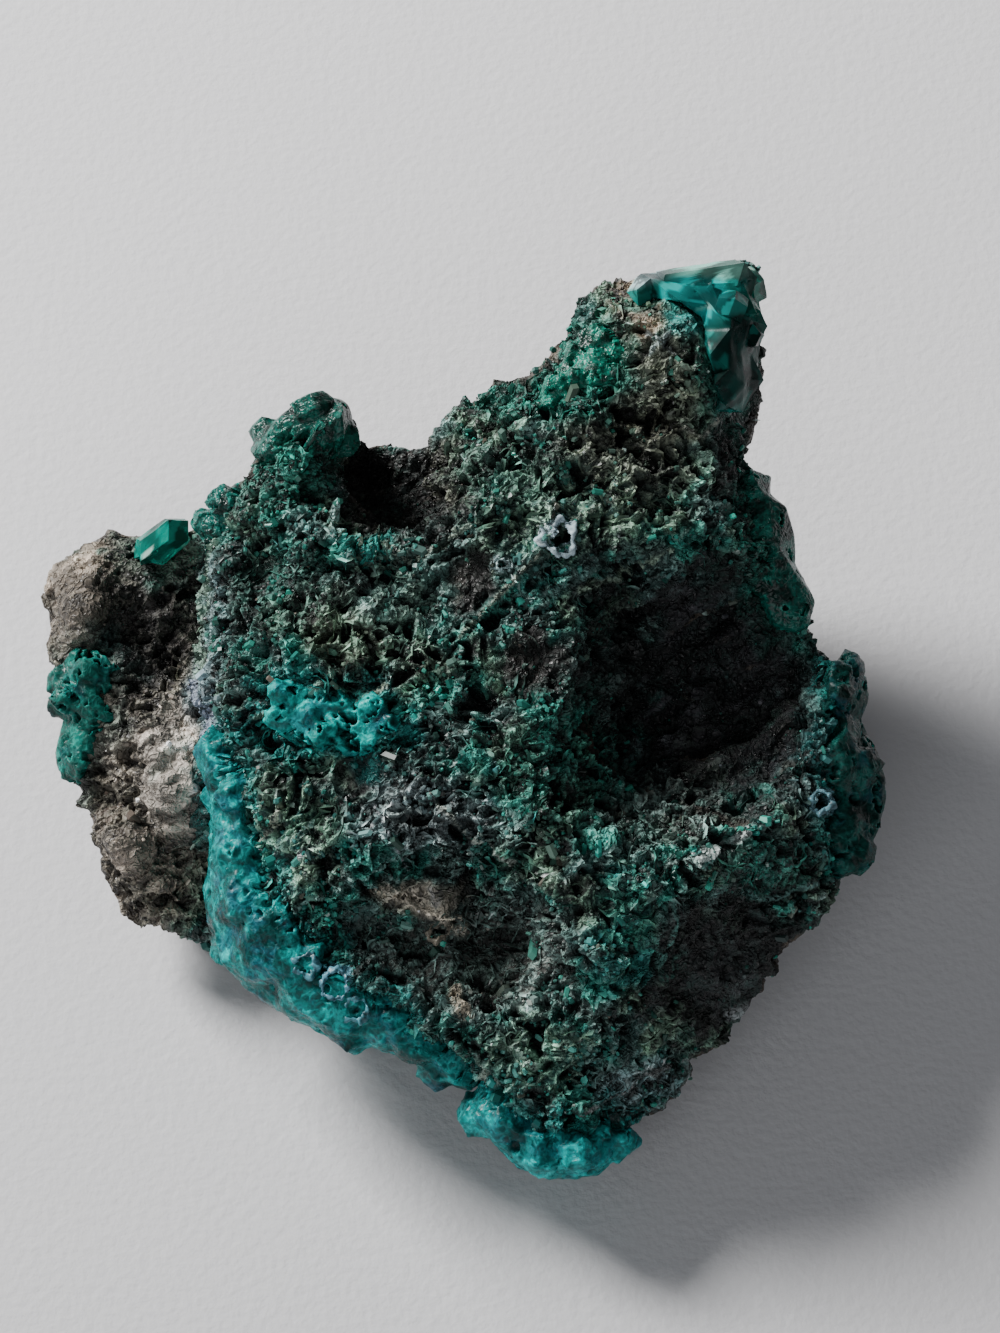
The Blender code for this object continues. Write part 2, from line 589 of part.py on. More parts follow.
def grow_crusts(rock):
    """Grows every crust off the rock; a swollen copy of the rock keeps the crystals' roots out of it."""
    ground = bmesh.new()
    ground.from_mesh(rock.data)
    ground.normal_update()
    swollen = ground.copy()
    for vert in swollen.verts:
        vert.co += vert.normal * (GAP + ROOT_DEPTH) * MM
    swollen_rock = mesh_object("swollen_rock", swollen)
    voxel_remesh(swollen_rock, VOXEL_GRAIN)
    thin_out(swollen_rock, 2 * ROCK_TRIANGLES)
    bmesh.ops.subdivide_edges(ground, edges=ground.edges, cuts=1, use_grid_fill=True)
    ground.normal_update()
    ground.verts.index_update()
    ground.faces.index_update()
    for seed, name in enumerate(CRUSTS):
        crust(name, ground, swollen_rock, seed)
    ground.free()
    bpy.data.objects.remove(swollen_rock)


for leftover in list(bpy.data.objects):
    bpy.data.objects.remove(leftover)
rock = host_rock()
grow_crusts(rock)
paint(rock)
for piece in bpy.data.objects:
    piece.location = CENTRING * MM
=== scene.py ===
"""Dioptase specimen: green crusts and crystals on a pitted brown host rock, on a pale table."""
import math

import bpy
import numpy as np
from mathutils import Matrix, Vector, noise
from mathutils.bvhtree import BVHTree
from mathutils.kdtree import KDTree


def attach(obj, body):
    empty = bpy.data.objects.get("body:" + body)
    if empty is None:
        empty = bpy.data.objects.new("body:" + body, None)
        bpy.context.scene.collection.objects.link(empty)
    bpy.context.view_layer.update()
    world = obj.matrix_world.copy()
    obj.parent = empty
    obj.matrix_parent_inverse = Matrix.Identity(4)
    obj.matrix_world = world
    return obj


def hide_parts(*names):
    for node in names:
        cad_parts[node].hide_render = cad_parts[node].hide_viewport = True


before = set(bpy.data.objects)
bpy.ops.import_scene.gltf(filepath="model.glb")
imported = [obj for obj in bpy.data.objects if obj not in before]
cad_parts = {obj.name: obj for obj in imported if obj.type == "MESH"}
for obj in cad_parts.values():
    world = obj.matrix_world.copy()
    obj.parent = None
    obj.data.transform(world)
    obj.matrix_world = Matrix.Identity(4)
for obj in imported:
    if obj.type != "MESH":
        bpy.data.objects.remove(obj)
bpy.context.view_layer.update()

# ---------------- table, camera and light
# The specimen lies on a sheet of pale paper by a window. The paper is large and plain, with a fine tooth.
# The window is behind the specimen on the left, so the right-hand hollows and the near right side are in shade.

MM = 0.001
MIDDLE = Vector((0.61, 0.45, 13.0)) * MM  # the middle of the show side
SHOW_LEAN = math.radians(60)  # the show side's normal above the table
ACROSS = Vector((1.0, 0.0, 0.0))
UP = Vector((0.0, math.sin(SHOW_LEAN), math.cos(SHOW_LEAN)))
OUT = Vector((0.0, -math.cos(SHOW_LEAN), math.sin(SHOW_LEAN)))
VIEW_DISTANCE = 300 * MM
VIEW_HEIGHT = 80 * MM  # what the picture's long side spans at the specimen
VIEW_CENTRE = (1.8 * MM, 2.91 * MM)  # across and up from the middle of the show side
PAPER_SIZE = 1.6  # m
NEAR_EDGE, FAR_EDGE = -0.06, 0.03  # m, between which the paper's colour gets a little brighter: painted light, falling off towards the near edge


def new_material(name):
    material = bpy.data.materials.new(name)
    material.use_nodes = True
    return material, material.node_tree, material.node_tree.nodes["Principled BSDF"]


def fill_in(tree, node, values, links):
    """Sets the values of a node's sockets, and joins sockets to the outputs that feed them."""
    for socket, value in (values or {}).items():
        node.inputs[socket].default_value = value
    for socket, output in (links or {}).items():
        tree.links.new(output, node.inputs[socket])


def add_node(tree, kind, values=None, links=None, **settings):
    """A shader node of a kind, with its values, links and settings."""
    node = tree.nodes.new("ShaderNode" + kind)
    for key, value in settings.items():
        setattr(node, key, value)
    fill_in(tree, node, values, links)
    return node


def multiplied(tree, first, second):
    return add_node(tree, "VectorMath", links={0: first, 1: second}, operation="MULTIPLY").outputs[0]


def spread(tree, value, start, end, low=0.0, high=1.0):
    """A value between low and high, spread out from start to end."""
    limits = {"From Min": low, "From Max": high, "To Min": start, "To Max": end}
    return add_node(tree, "MapRange", limits, {"Value": value}).outputs[0]


def relief(tree, height, strength, distance):
    """The normals of a fine relief, whose full height is a distance in metres."""
    sizes = {"Strength": strength, "Distance": distance}
    return add_node(tree, "Bump", sizes, {"Height": height}).outputs["Normal"]


def add_object(name, data):
    obj = bpy.data.objects.new(name, data)
    bpy.context.scene.collection.objects.link(obj)
    return obj


bpy.ops.mesh.primitive_plane_add(size=PAPER_SIZE, location=(0, 0, 0))
paper = bpy.context.active_object
paper.name = "paper"
material, tree, shader = new_material("paper")
place = add_node(tree, "TexCoord").outputs["Object"]
tooth = add_node(tree, "TexNoise", {"Scale": 1600.0, "Detail": 3.0}, {"Vector": place})
clouds = add_node(tree, "TexNoise", {"Scale": 14.0, "Detail": 2.0}, {"Vector": place})
tone = add_node(tree, "ValToRGB", links={"Fac": clouds.outputs["Fac"]})
tone.color_ramp.elements[0].color = (0.72, 0.72, 0.745, 1)
tone.color_ramp.elements[1].color = (0.79, 0.79, 0.81, 1)
along = add_node(tree, "SeparateXYZ", links={"Vector": place})
# Painted light: the paper's colour is darkened towards the near edge, as the window's light falls off.
far = spread(tree, along.outputs["Y"], 0.85, 1.02, NEAR_EDGE, FAR_EDGE)
fill_in(tree, shader, {"Roughness": 0.9}, {
    "Base Color": multiplied(tree, tone.outputs["Color"], far),
    "Normal": relief(tree, tooth.outputs["Fac"], 0.35, 0.0002)})
paper.data.materials.append(material)

camera = add_object("camera", bpy.data.cameras.new("camera"))
camera.data.lens = camera.data.sensor_width * VIEW_DISTANCE / VIEW_HEIGHT
camera.location = MIDDLE + ACROSS * VIEW_CENTRE[0] + UP * VIEW_CENTRE[1] + OUT * VIEW_DISTANCE
camera.rotation_euler = OUT.to_track_quat("Z", "Y").to_euler()
bpy.context.scene.camera = camera

world = bpy.data.worlds.new("room")
world.use_nodes = True
air = {"Color": (0.95, 0.96, 1.0, 1), "Strength": 0.11}
fill_in(world.node_tree, world.node_tree.nodes["Background"], air, None)
bpy.context.scene.world = world


def add_window(name, position, size, power, colour):
    """A square window that looks at the specimen: its place and side in metres, and its power in watts."""
    light = bpy.data.lights.new(name, "AREA")
    light.shape = "SQUARE"
    light.size = size
    light.energy = power
    light.color = colour
    holder = add_object(name, light)
    holder.location = position
    holder.rotation_euler = Vector(position).to_track_quat("Z", "Y").to_euler()


add_window("window", (-0.4, 0.34, 0.36), 0.22, 9.3, (1.0, 0.99, 0.97))
add_window("far_window", (-0.15, -0.5, 0.3), 0.5, 1.1, (0.95, 0.97, 1.0))

# ---------------- host rock
# Altered, iron-stained rock: a slab with a knob, a peak, a deep bowl and a tip, over a paler block on its left.
# Its show side is eaten into a boxwork of thin pale walls round small pits, dark rock deepened with painted shade;
# its other sides are rough broken rock with green patches. Hollows and sides turned from the window carry painted
# shade.

ROCK_VOXEL = 0.3 * MM
PIT_SIZE, PIT_DEPTH = 1.6, 0.9  # mm, the larger pits
BOX_SIZE, FINE_SIZE = 0.78, 0.46  # mm, the larger and the finer cells of the boxwork
BOX_DEPTH = 0.28  # mm
CHIP_SIZE, CHIP_RISE = 1.45, 0.36  # mm, the broken faces between the pits, and how far each leans out
CRAG_SIZE, CRAG = 1.9, 0.36  # mm, of the uneven ground between the pits
PIT_SHARE = 0.3  # of the cells of the ground, how many are pits
FOOT_RISE = (0.4, 2.2)  # mm over the table, where the flat foot passes into the uneven ground
SLAB_EDGE = (-16.8, -15.2)  # mm across, where the block passes into the slab
STREAK = Vector((0.8, 0.6, 0.0))  # across and up: the way that the boxwork is drawn out
STRETCH = 1.55  # how many times longer it is that way
KNOB_TOP, KNOB_PUSH = (-9.2, 17.4), 1.6 # mm, where the knob's top is, and how far it leans out
SEAL = 0.35  # mm, that a crust's underside is sunk into the rock

CREAM, GREY, BROWN = (0.33, 0.52, 0.36), (0.25, 0.36, 0.33), (0.25, 0.25, 0.18)
GREEN, TEAL, FROST = (0.03, 0.36, 0.27), (0.01, 0.5, 0.46), (0.4, 0.58, 0.62)
# SHADE: near-black, a painted shade colour for the walls of hollows and of sides turned from the window.
SHADE, TAN = (0.03, 0.03, 0.03), (0.5, 0.44, 0.35)

# Where the ground changes: (across, up, half width, half height) in mm, its colour in the open and on its
# walls, how strong it is, and how deeply pitted.
GROUNDS = {
    "left block": ((-20.8, 0.5, 5.6, 15), (0.105, 0.082, 0.066), TAN, 1, 0.45),
    "knuckle": ((-24.6, 7, 2.9, 3.8), (0.4, 0.33, 0.26), TAN, 1, 0.08),
    # Near-black here is painted shade in the block's hollow.
    "block hollow": ((-19.8, 5.2, 3.2, 4.2), (0.03, 0.026, 0.025), SHADE, 1, 0.5),
    "block pale side": ((-17.6, -3.6, 2.6, 4.4), (0.88, 0.78, 0.67), (0.9, 0.82, 0.72), 1, 0.05),
    "block pale band": ((-21.8, -2.9, 3, 1.5), (0.3, 0.26, 0.22), TAN, 0.95, 0.5),
    "block foot": ((-19.6, -9.8, 4.2, 3.8), (0.3, 0.25, 0.205), TAN, 0.9, 0.8),
    "slab edge": ((-15.4, 4.6, 1.3, 7.5), (0.05, 0.12, 0.095), FROST, 0.8, 0.8),
    "slab edge pale": ((-16, 1.2, 1.5, 2), (0.14, 0.18, 0.21), FROST, 0.8, 0.8),
    "slab edge low": ((-15.2, -4.4, 1.4, 3), (0.02, 0.12, 0.11), TEAL, 0.8, 0.8),
    "knob stem": ((-11.2, 14.4, 2.6, 3.2), (0.02, 0.08, 0.058), GREEN, 0.9, 0.7),
    # Near-black: painted shade on the knob's side turned from the window.
    "knob side": ((-7, 15.6, 1.9, 3.4), (0.012, 0.01, 0.009), SHADE, 1, 0.2),
    # The notch is dark brown rock, darkened further as the painted shadow of the knob.
    "notch": ((-4, 13.4, 4.4, 3.4), (0.014, 0.011, 0.009), SHADE, 1, 0.35),
    "notch far side": ((-0.8, 14.6, 2, 2.6), (0.035, 0.03, 0.02), BROWN, 0.8, 0.8),
    "ridge": ((2.6, 19, 3.4, 2), (0.018, 0.075, 0.055), GREEN, 0.9, 0.8),
    "peak foot": ((9.2, 15.2, 5.2, 3.4), (0.08, 0.105, 0.088), BROWN, 0.9, 1),
    "peak brown": ((11.2, 19.6, 3.6, 4.4), (0.125, 0.135, 0.105), BROWN, 0.9, 0.9),
    "peak flank": ((6.7, 20.4, 2, 3.2), (0.004, 0.14, 0.096), (0.03, 0.42, 0.3), 0.95, 0.6),
    "peak teal": ((13.6, 24.6, 3, 2.2), (0.004, 0.24, 0.22), TEAL, 0.95, 0.35),
    "peak frost": ((10.4, 26.8, 1.8, 1.1), (0.12, 0.19, 0.2), FROST, 0.9, 0.6),
    "peak plate": ((16.8, 20.4, 2.2, 3.2), (0.003, 0.04, 0.032), (0.02, 0.14, 0.11), 0.95, 0.12),
    "peak tan": ((9.9, 24.2, 1.8, 2.4), (0.34, 0.235, 0.155), TAN, 0.95, 0.6),
    # Near-black: painted shade on the peak's side turned from the window.
    "peak dark side": ((16.4, 16.2, 2.2, 3.4), (0.009, 0.008, 0.008), SHADE, 1, 0.4),
    "plateau": ((5.4, 11.6, 6, 2.6), (0.044, 0.125, 0.108), CREAM, 0.7, 1),
    "over the plateau": ((2.2, 14.2, 3.6, 2.2), (0.022, 0.066, 0.054), (0.1, 0.26, 0.2), 0.8, 1),
    "mid left": ((-11.6, 7.6, 3.4, 3.4), (0.014, 0.03, 0.026), (0.12, 0.3, 0.24), 0.8, 0.9),
    "mid left tan": ((-7, 4.4, 2.8, 2), (0.15, 0.165, 0.115), CREAM, 0.85, 0.6),
    "middle": ((-3.2, 7.4, 4.4, 3.4), (0.056, 0.11, 0.1), GREY, 0.7, 1),
    # The two dips are dark brown rock, deepened with painted shade.
    "upper dip": ((0.1, 8, 1.5, 2.2), (0.026, 0.023, 0.019), SHADE, 1, 0.2),
    "lower dip": ((3.6, 3, 2.2, 1.9), (0.024, 0.021, 0.018), SHADE, 1, 0.2),
    # The bowl is dark smooth rock, deepened with painted shade in its depth.
    "bowl": ((14.6, 1.8, 6.8, 8.2), (0.032, 0.031, 0.036), SHADE, 1, 0.12),
    "bowl left": ((8, 4, 3, 6), (0.012, 0.019, 0.017), SHADE, 0.8, 0.7),
    "bowl lip": ((11, -5.6, 4.6, 2.2), (0.032, 0.042, 0.037), GREY, 0.8, 0.8),
    "shoulder": ((18.2, 11.6, 2.4, 4.4), (0.007, 0.025, 0.02), GREEN, 0.9, 0.5),
    "right rim": ((22.6, -3.4, 2.8, 5.6), (0.042, 0.098, 0.098), FROST, 0.9, 0.4),
    "shelf": ((17.4, -9, 3.8, 1.8), (0.034, 0.085, 0.076), GREEN, 0.9, 0.4),
    # Near-black: painted shade on the low right face, which faces down and away from the window.
    "low right face": ((15.6, -15, 6.6, 5), (0.024, 0.022, 0.025), SHADE, 0.95, 0.3),
    "centre right": ((5.2, -2.6, 3.6, 4.4), (0.014, 0.075, 0.058), GREEN, 0.8, 1),
    "centre teal": ((-9, -0.6, 4.6, 2.2), (0.012, 0.18, 0.165), TEAL, 0.8, 0.9),
    "centre brown": ((-6.1, -3.4, 1.7, 1.3), (0.062, 0.054, 0.052), SHADE, 0.95, 0.15),
    "grey druse": ((-3.2, -5.8, 4.6, 2.6), (0.12, 0.165, 0.175), (0.46, 0.52, 0.54), 0.85, 1),
    "low left": ((-10.6, -6.6, 3.6, 3.4), (0.014, 0.085, 0.078), CREAM, 0.8, 1),
    "low hollow": ((0.4, -14, 6.2, 3.8), (0.086, 0.084, 0.076), GREY, 0.95, 0.6),
    "tan lip": ((-2.8, -10.7, 2.5, 1), (0.86, 0.78, 0.64), TAN, 0.98, 0.1),
    "green spine": ((9, -12.6, 2.2, 4), (0.045, 0.27, 0.25), GREEN, 0.8, 0.8),
    "needles": ((3.4, -19.8, 3.4, 2.4), (0.085, 0.25, 0.215), CREAM, 0.8, 0.9),
    "tip side": ((10.4, -22.2, 3.6, 2), (0.04, 0.05, 0.05), FROST, 0.8, 0.6),
}
# Ring-shaped growths with a hole in the middle: (across, up, radius) in mm, and their colour.
RINGS = {
    "eye": ((5.2, 10.5, 0.98), (0.62, 0.8, 0.88)), "small eye": ((1.9, 8.9, 0.38), (0.36, 0.5, 0.5)),
    "band ring": ((-7.8, -15.6, 0.85), (0.11, 0.3, 0.39)), "band ring left": ((-9.6, -14.6, 0.6), (0.08, 0.26, 0.32)),
    "band ring low": ((-6.5, -17.2, 0.65), (0.08, 0.28, 0.34)),
    "rim ring": ((20.9, -5.1, 0.6), (0.14, 0.3, 0.36)), "foot eye": ((-1.8, -12.6, 0.5), (0.22, 0.2, 0.16)),
}
# Smooth dips and swells between the boxwork: (across, up, half width, half height, rise) in mm.
SWELLS = {
    "upper dip": (0.1, 8, 1.5, 2.2, -0.9), "lower dip": (3.6, 3, 2.2, 1.9, -0.8),
    "centre dip": (-6.1, -3.4, 1.7, 1.3, -0.5), "left dip": (-12.2, 8, 1.9, 1.6, -0.6),
    "block shoulder": (-16.4, -5.6, 3.4, 5.2, 1.5), "block knuckle": (-23.4, 7, 3, 3.4, 0.5),
    "block rounding": (-20.4, -8.4, 3.4, 3.2, 0.7), "hollow lip": (-2.2, -11.4, 2.6, 1.3, 1.4),
    "hollow": (1.6, -13.6, 2.8, 1.7, -0.8), "hollow side": (-6.2, -12.2, 2.4, 1.6, -0.6),
}
# Thin blades and raised edges: their course (across, up and on), half width and height in mm, and their colour.
BLADES = {
    "notch blade": ([-8.2, 11.9, -7.9, 10.6, -7.1, 9.2], 0.32, 1.4, (0.46, 0.72, 0.68)),
    "notch wedge": ([-7.4, 9.9, -6.4, 9.5, -5, 9.7], 0.75, 0.9, (0.03, 0.4, 0.34)),
    "notch edge": ([-5, 9.7, -3.4, 9, -1.6, 10.2, 0.4, 11.4], 0.16, 0.3, (0.34, 0.42, 0.34)),
    "slab edge": ([-15, 12, -15.6, 9, -15.9, 6.6, -16.5, 3.4, -16.6, 1], 0.3, 0.3, (0.3, 0.46, 0.36)),
    "slab edge blue": ([-16.6, 1.6, -15.6, 0.2, -15, -1.8], 0.45, 0.3, (0.42, 0.48, 0.6)),
    "centre streak": ([-12.6, -0.2, -10.6, 0.8, -8.8, 2, -7.6, 2.8], 0.2, 0.4, (0.34, 0.58, 0.46)),
    "centre streak right": ([-7.6, 0.2, -6.2, 0.9, -5, 1.8], 0.24, 0.5, (0.55, 0.64, 0.5)),
    "centre low edge": ([-8.6, -2, -6.8, -2.2, -5.2, -1.4, -4.2, -0.9], 0.18, 0.35, (0.16, 0.5, 0.46)),
    "plateau line": ([6.4, 7.4, 8.6, 8, 10.4, 9.2, 11.8, 10], 0.17, 0.4, (0.38, 0.52, 0.4)),
    "plateau low": ([-0.6, 4.6, 1.6, 7, 3.6, 9, 6.2, 11.6, 9.6, 13.4], 0.15, 0.3, (0.36, 0.42, 0.34)),
    "bowl edge": ([9.8, 9.8, 12.4, 10.6, 13.4, 12], 0.16, 0.3, (0.24, 0.46, 0.38)),
    "shelf blade": ([13, -8.2, 14.6, -7.6, 16.2, -6.8], 0.26, 0.6, (0.55, 0.62, 0.6)),
    "shelf edge": ([9.6, -7.6, 11.2, -8.6, 13, -8.3], 0.16, 0.3, (0.3, 0.44, 0.4)),
    "shelf low edge": ([16.2, -10.4, 17.8, -10.9, 19.6, -10.2, 21.4, -9.8], 0.18, 0.4, (0.16, 0.36, 0.33)),
    "fall edge": ([10.2, -8.4, 11.8, -10.2, 12.2, -12.4, 11.2, -14.6], 0.16, 0.35, (0.12, 0.32, 0.28)),
    "druse line": ([-5.6, -5, -4.4, -7.6, -3.6, -9], 0.13, 0.3, (0.3, 0.32, 0.34)),
    "druse line pale": ([-1.8, -5.2, 0.2, -7.2, 2.4, -8.6], 0.17, 0.4, (0.48, 0.54, 0.48)),
    "low streak": ([-11.4, -12.2, -9.6, -11, -6.2, -9.4, -3.6, -7.8], 0.16, 0.35, (0.26, 0.48, 0.44)),
    "low streak left": ([-13.4, -8.4, -12, -7, -11, -5.4], 0.17, 0.4, (0.55, 0.6, 0.48)),
    "tan lip": ([-5.2, -10.2, -3.4, -10.4, -1.6, -11.2, -0.6, -12.4], 0.48, 0.7, (0.9, 0.82, 0.68)),
    "pale grain": ([-0.9, -16.4, -0.5, -17.4], 0.42, 0.4, (0.52, 0.46, 0.35)),
    "needle one": ([2.4, -19.2, 3.8, -20.6], 0.2, 0.5, (0.42, 0.6, 0.5)),
    "needle two": ([0.6, -20.4, 1.6, -21.6], 0.16, 0.4, (0.5, 0.62, 0.54)),
    "needle three": ([4.4, -18.2, 5, -20.2], 0.15, 0.4, (0.2, 0.5, 0.38)),
    "face line": ([6, -23.6, 8.4, -22.4, 10.2, -21, 12.8, -20.4], 0.15, 0.3, (0.26, 0.27, 0.27)),
    "face chip": ([15.6, -17.8, 16.6, -17.4], 0.4, 0.3, (0.4, 0.44, 0.45)),
    "peak cross": ([10.4, 22.8, 12.2, 21.6], 0.16, 0.4, (0.46, 0.52, 0.52)),
    "peak cross over": ([10.6, 21.4, 12, 22.8], 0.16, 0.4, (0.34, 0.44, 0.44)),
    "peak seam": ([12.4, 17.4, 13.6, 16.4, 15, 17.6], 0.18, 0.3, (0.4, 0.42, 0.36)),
    "shoulder edge": ([16.8, 14.4, 17.6, 11.6, 18.2, 8.6], 0.16, 0.3, (0.2, 0.42, 0.36)),
}


def ramp(low, high, x):
    """0 up to low and 1 from high on, with a smooth rise between them."""
    t = np.clip((x - low) / (high - low), 0.0, 1.0)
    return t * t * (3 - 2 * t)


def blend(a, b, share):
    """From one colour to another, by a share for each point."""
    return a + (np.array(b) - a) * share[:, None]


def show_places(points):
    """Across, up and out in mm for an array of points in metres."""
    offset = points - np.array(MIDDLE)
    return [offset @ np.array(axis) / MM for axis in (ACROSS, UP, OUT)]


def show_point(across, up, out):
    return MIDDLE + (ACROSS * across + UP * up + OUT * out) * MM


def in_mm(points):
    return [Vector(p) / MM for p in points]


def inside(across, up, zone, wander, full, edge):
    """1 in an oval zone up to a share full of its size, and 0 from the share edge on."""
    x, y, wide, high = zone
    return 1 - ramp(full, edge, np.hypot((across - x) / wide, (up - y) / high) + wander)


def cloud(near, size, part=0, octaves=3):
    """Soft uneven blotches of a size in mm, from about -1 to 1, one value a point. Each part has its own."""
    apart = Vector((7.3 * part, 3.1 * part, 5.7 * part))
    return np.array([noise.fractal(p / size + apart, 0.8, 2.1, octaves) for p in near])


def vertex_values(obj, name):
    values = np.empty(len(obj.data.vertices) * 3)
    obj.data.vertices.foreach_get(name, values)
    return values.reshape(-1, 3)


def move_vertices(obj, places):
    obj.data.vertices.foreach_set("co", places.astype(np.float32).ravel())
    obj.data.update()


def store(obj, name, values):
    """Keeps a number or a colour for each vertex."""
    if values.ndim == 1:
        obj.data.attributes.new(name, "FLOAT", "POINT").data.foreach_set("value", values.astype(np.float32))
    else:
        colours = np.column_stack([values, np.ones(len(values))]).astype(np.float32)
        obj.data.attributes.new(name, "FLOAT_COLOR", "POINT").data.foreach_set("color", colours.ravel())


def growths(*nodes):
    """A tree of the corners of some crusts, for how near they are."""
    corners = [v.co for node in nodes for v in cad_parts[node].data.vertices]
    tree = KDTree(len(corners))
    for k, corner in enumerate(corners):
        tree.insert(corner, k)
    tree.balance()
    return tree


teal_growths = growths("left_rim_crust", "tip_crust", "right_rim_crust", "block_crust", "centre_crust")
green_growths = growths("shoulder_crust", "knob_crust", "corner_crust", "ridge_crust", "peak_crystals", "block_crystal")
clear_growths = growths("peak_crystals", "block_crystal")


def near_growth(tree, points, wander, reach=1.9):
    """How strongly a crust of the tree stains the ground beside it, 0 to 1."""
    distances = np.array([tree.find(Vector(p))[2] for p in points]) / MM
    return 1 - ramp(0.3, reach, distances + 1.1 * wander)


def drawn_out(points):
    """Places in mm, squeezed along the streaks, so that what is even here is drawn out along them."""
    across, up, out = show_places(points)
    along = across * STREAK.x + up * STREAK.y
    over = up * STREAK.x - across * STREAK.y
    return [Vector(p) for p in zip(along / STRETCH, over, out)]


def ground_at(points, normals):
    """The ground's colour in the open and on its walls, and how pitted it is, at each point."""
    across, up, out = show_places(points)
    near = in_mm(points)
    wander, blotch = cloud(near, 1.7, 0), cloud(near, 3.2, 1)
    green, brown = ramp(-0.1, 0.35, cloud(near, 2.6, 2)), ramp(0.0, 0.5, cloud(near, 3.9, 3))
    facing = ramp(-0.05, 0.35, normals @ np.array(OUT) + 0.25 * blotch)
    colour = blend((0.036, 0.102, 0.094), (0.011, 0.19, 0.155), green * 0.85)
    colour = blend(colour, (0.09, 0.098, 0.07), brown * 0.7)
    crest = blend(blend((0.2, 0.34, 0.31), GREEN, green * 0.8), CREAM, brown * 0.8)
    pitted = np.ones(len(points))
    for zone, open_colour, wall_colour, strength, pits in GROUNDS.values():
        share = strength * inside(across, up, zone, 0.34 * wander, 0.62, 1.18)
        colour = blend(colour, open_colour, share)
        crest = blend(crest, wall_colour, share * 0.85)
        pitted += (pits - pitted) * share
    on_slab = ramp(*SLAB_EDGE, across)
    patches = 1.2 * np.exp(0.98 * cloud(drawn_out(points), 1.25, 11) * (0.3 + 0.7 * on_slab))[:, None]
    patches = np.maximum(patches, ramp(0.35, 0.6, colour.max(axis=1))[:, None])     # pale ground stays clean
    colour, crest = colour * patches, crest * patches
    teal, leaf = near_growth(teal_growths, points, wander), near_growth(green_growths, points, wander)
    teal, leaf = teal * (0.3 + 0.7 * on_slab), leaf * (0.5 + 0.5 * on_slab)
    colour = blend(blend(colour, (0.004, 0.12, 0.112), teal * 0.85), (0.004, 0.1, 0.072), leaf * 0.8)
    crest = blend(blend(crest, TEAL, teal * 0.8), GREEN, leaf * 0.7)
    behind = np.array((0.105, 0.086, 0.068)) * (1 + 0.7 * blotch)[:, None]
    behind = blend(behind, (0.025, 0.11, 0.085), 0.8 * ramp(0.28, 0.5, cloud(near, 5.5, 4)))
    colour, crest = blend(behind, colour, facing), blend(behind * 2.2, crest, facing)
    pitted = 0.45 + (pitted - 0.45) * facing
    return np.clip(colour * (1 + 0.4 * blotch)[:, None], 0.002, 1), np.clip(crest, 0.004, 1), pitted


def add_rings_and_blades(points, lift, crest, wall, pits):
    """Puts the dips, swells, rings and blades of the ground into its arrays."""
    across, up, out = show_places(points)
    near = in_mm(points)
    wander, worn = 0.22 * cloud(near, 0.9, 8, 2), np.clip(0.55 + 0.9 * cloud(near, 0.5, 9, 2), 0, 1)
    facing = ramp(-3.0, 0.0, out + 3.0)
    for *zone, rise in SWELLS.values():
        share = inside(across, up, zone, wander, 0.15, 1.1) * facing
        lift += rise * share - lift * share * 0.6
        pits[:] = pits * (1 - 0.7 * share)
        wall[:] = wall * (1 - 0.8 * share)
    for (x, y, radius), colour in RINGS.values():
        distance = np.hypot(across - x, up - y) + wander
        share = (1 - ramp(0.14, 0.38, np.abs(distance - radius))) * facing
        middle = (1 - ramp(radius * 0.5, radius * 0.9, distance)) * facing
        lift += 0.3 * share - 0.55 * middle
        pits[:] = np.maximum(pits * (1 - share), middle)
        wall[:] = np.maximum(wall, share)
        crest[:] = blend(crest, colour, share)
    for course, half_width, height, colour in BLADES.values():
        distance = np.full(len(points), 1e9)
        for x, y, x1, y1 in zip(course[::2], course[1::2], course[2::2], course[3::2]):
            right, rise = x1 - x, y1 - y
            t = np.clip(((across - x) * right + (up - y) * rise) / math.hypot(right, rise) ** 2, 0, 1)
            distance = np.minimum(distance, np.hypot(across - x - t * right, up - y - t * rise))
        distance += wander * min(1.0, half_width * 2.4)
        share = (1 - ramp(half_width * 0.4, half_width * 1.5, distance)) * facing
        lift += 0.75 * height * share * worn
        pits *= 1 - share
        wall[:] = np.maximum(wall, share * (0.25 + 0.75 * worn))
        crest[:] = blend(crest, colour, np.clip(share * 1.5, 0, 1))


def drift(place, step):
    """A soft shift that changes from place to place."""
    return Vector([noise.noise(place + Vector(step) * k) for k in range(3)])


def pit_at(place):
    """How deep in one of the larger pits a place is, 0 to 1."""
    distances, centres = noise.voronoi(place / PIT_SIZE + drift(place / PIT_SIZE * 0.8, (0, 0, 17)) * 1.2)
    if noise.cell(centres[0] * 5.7) > PIT_SHARE:
        return 0.0
    deep = min(1.0, max(0.0, (distances[1] - distances[0] - 0.08) / 0.42))
    return deep * deep * (3 - 2 * deep)


def boxwork_at(place):
    """How far a place is on a thin wall, 0 to 1, and how deep it is in the cell between the walls."""
    place = place + drift(place * 0.9 + Vector((0, 0, 5)), (31, 0, 0)) * 0.45
    large = abs(noise.noise(place / BOX_SIZE))
    fine = abs(noise.noise(place / FINE_SIZE + Vector((60, 20, 0))))
    wall = max(1 - large / 0.13, 0.8 - fine / 0.16, 0.0)
    return wall, min(1.0, large / 0.45) * 0.65 + min(1.0, fine / 0.45) * 0.35


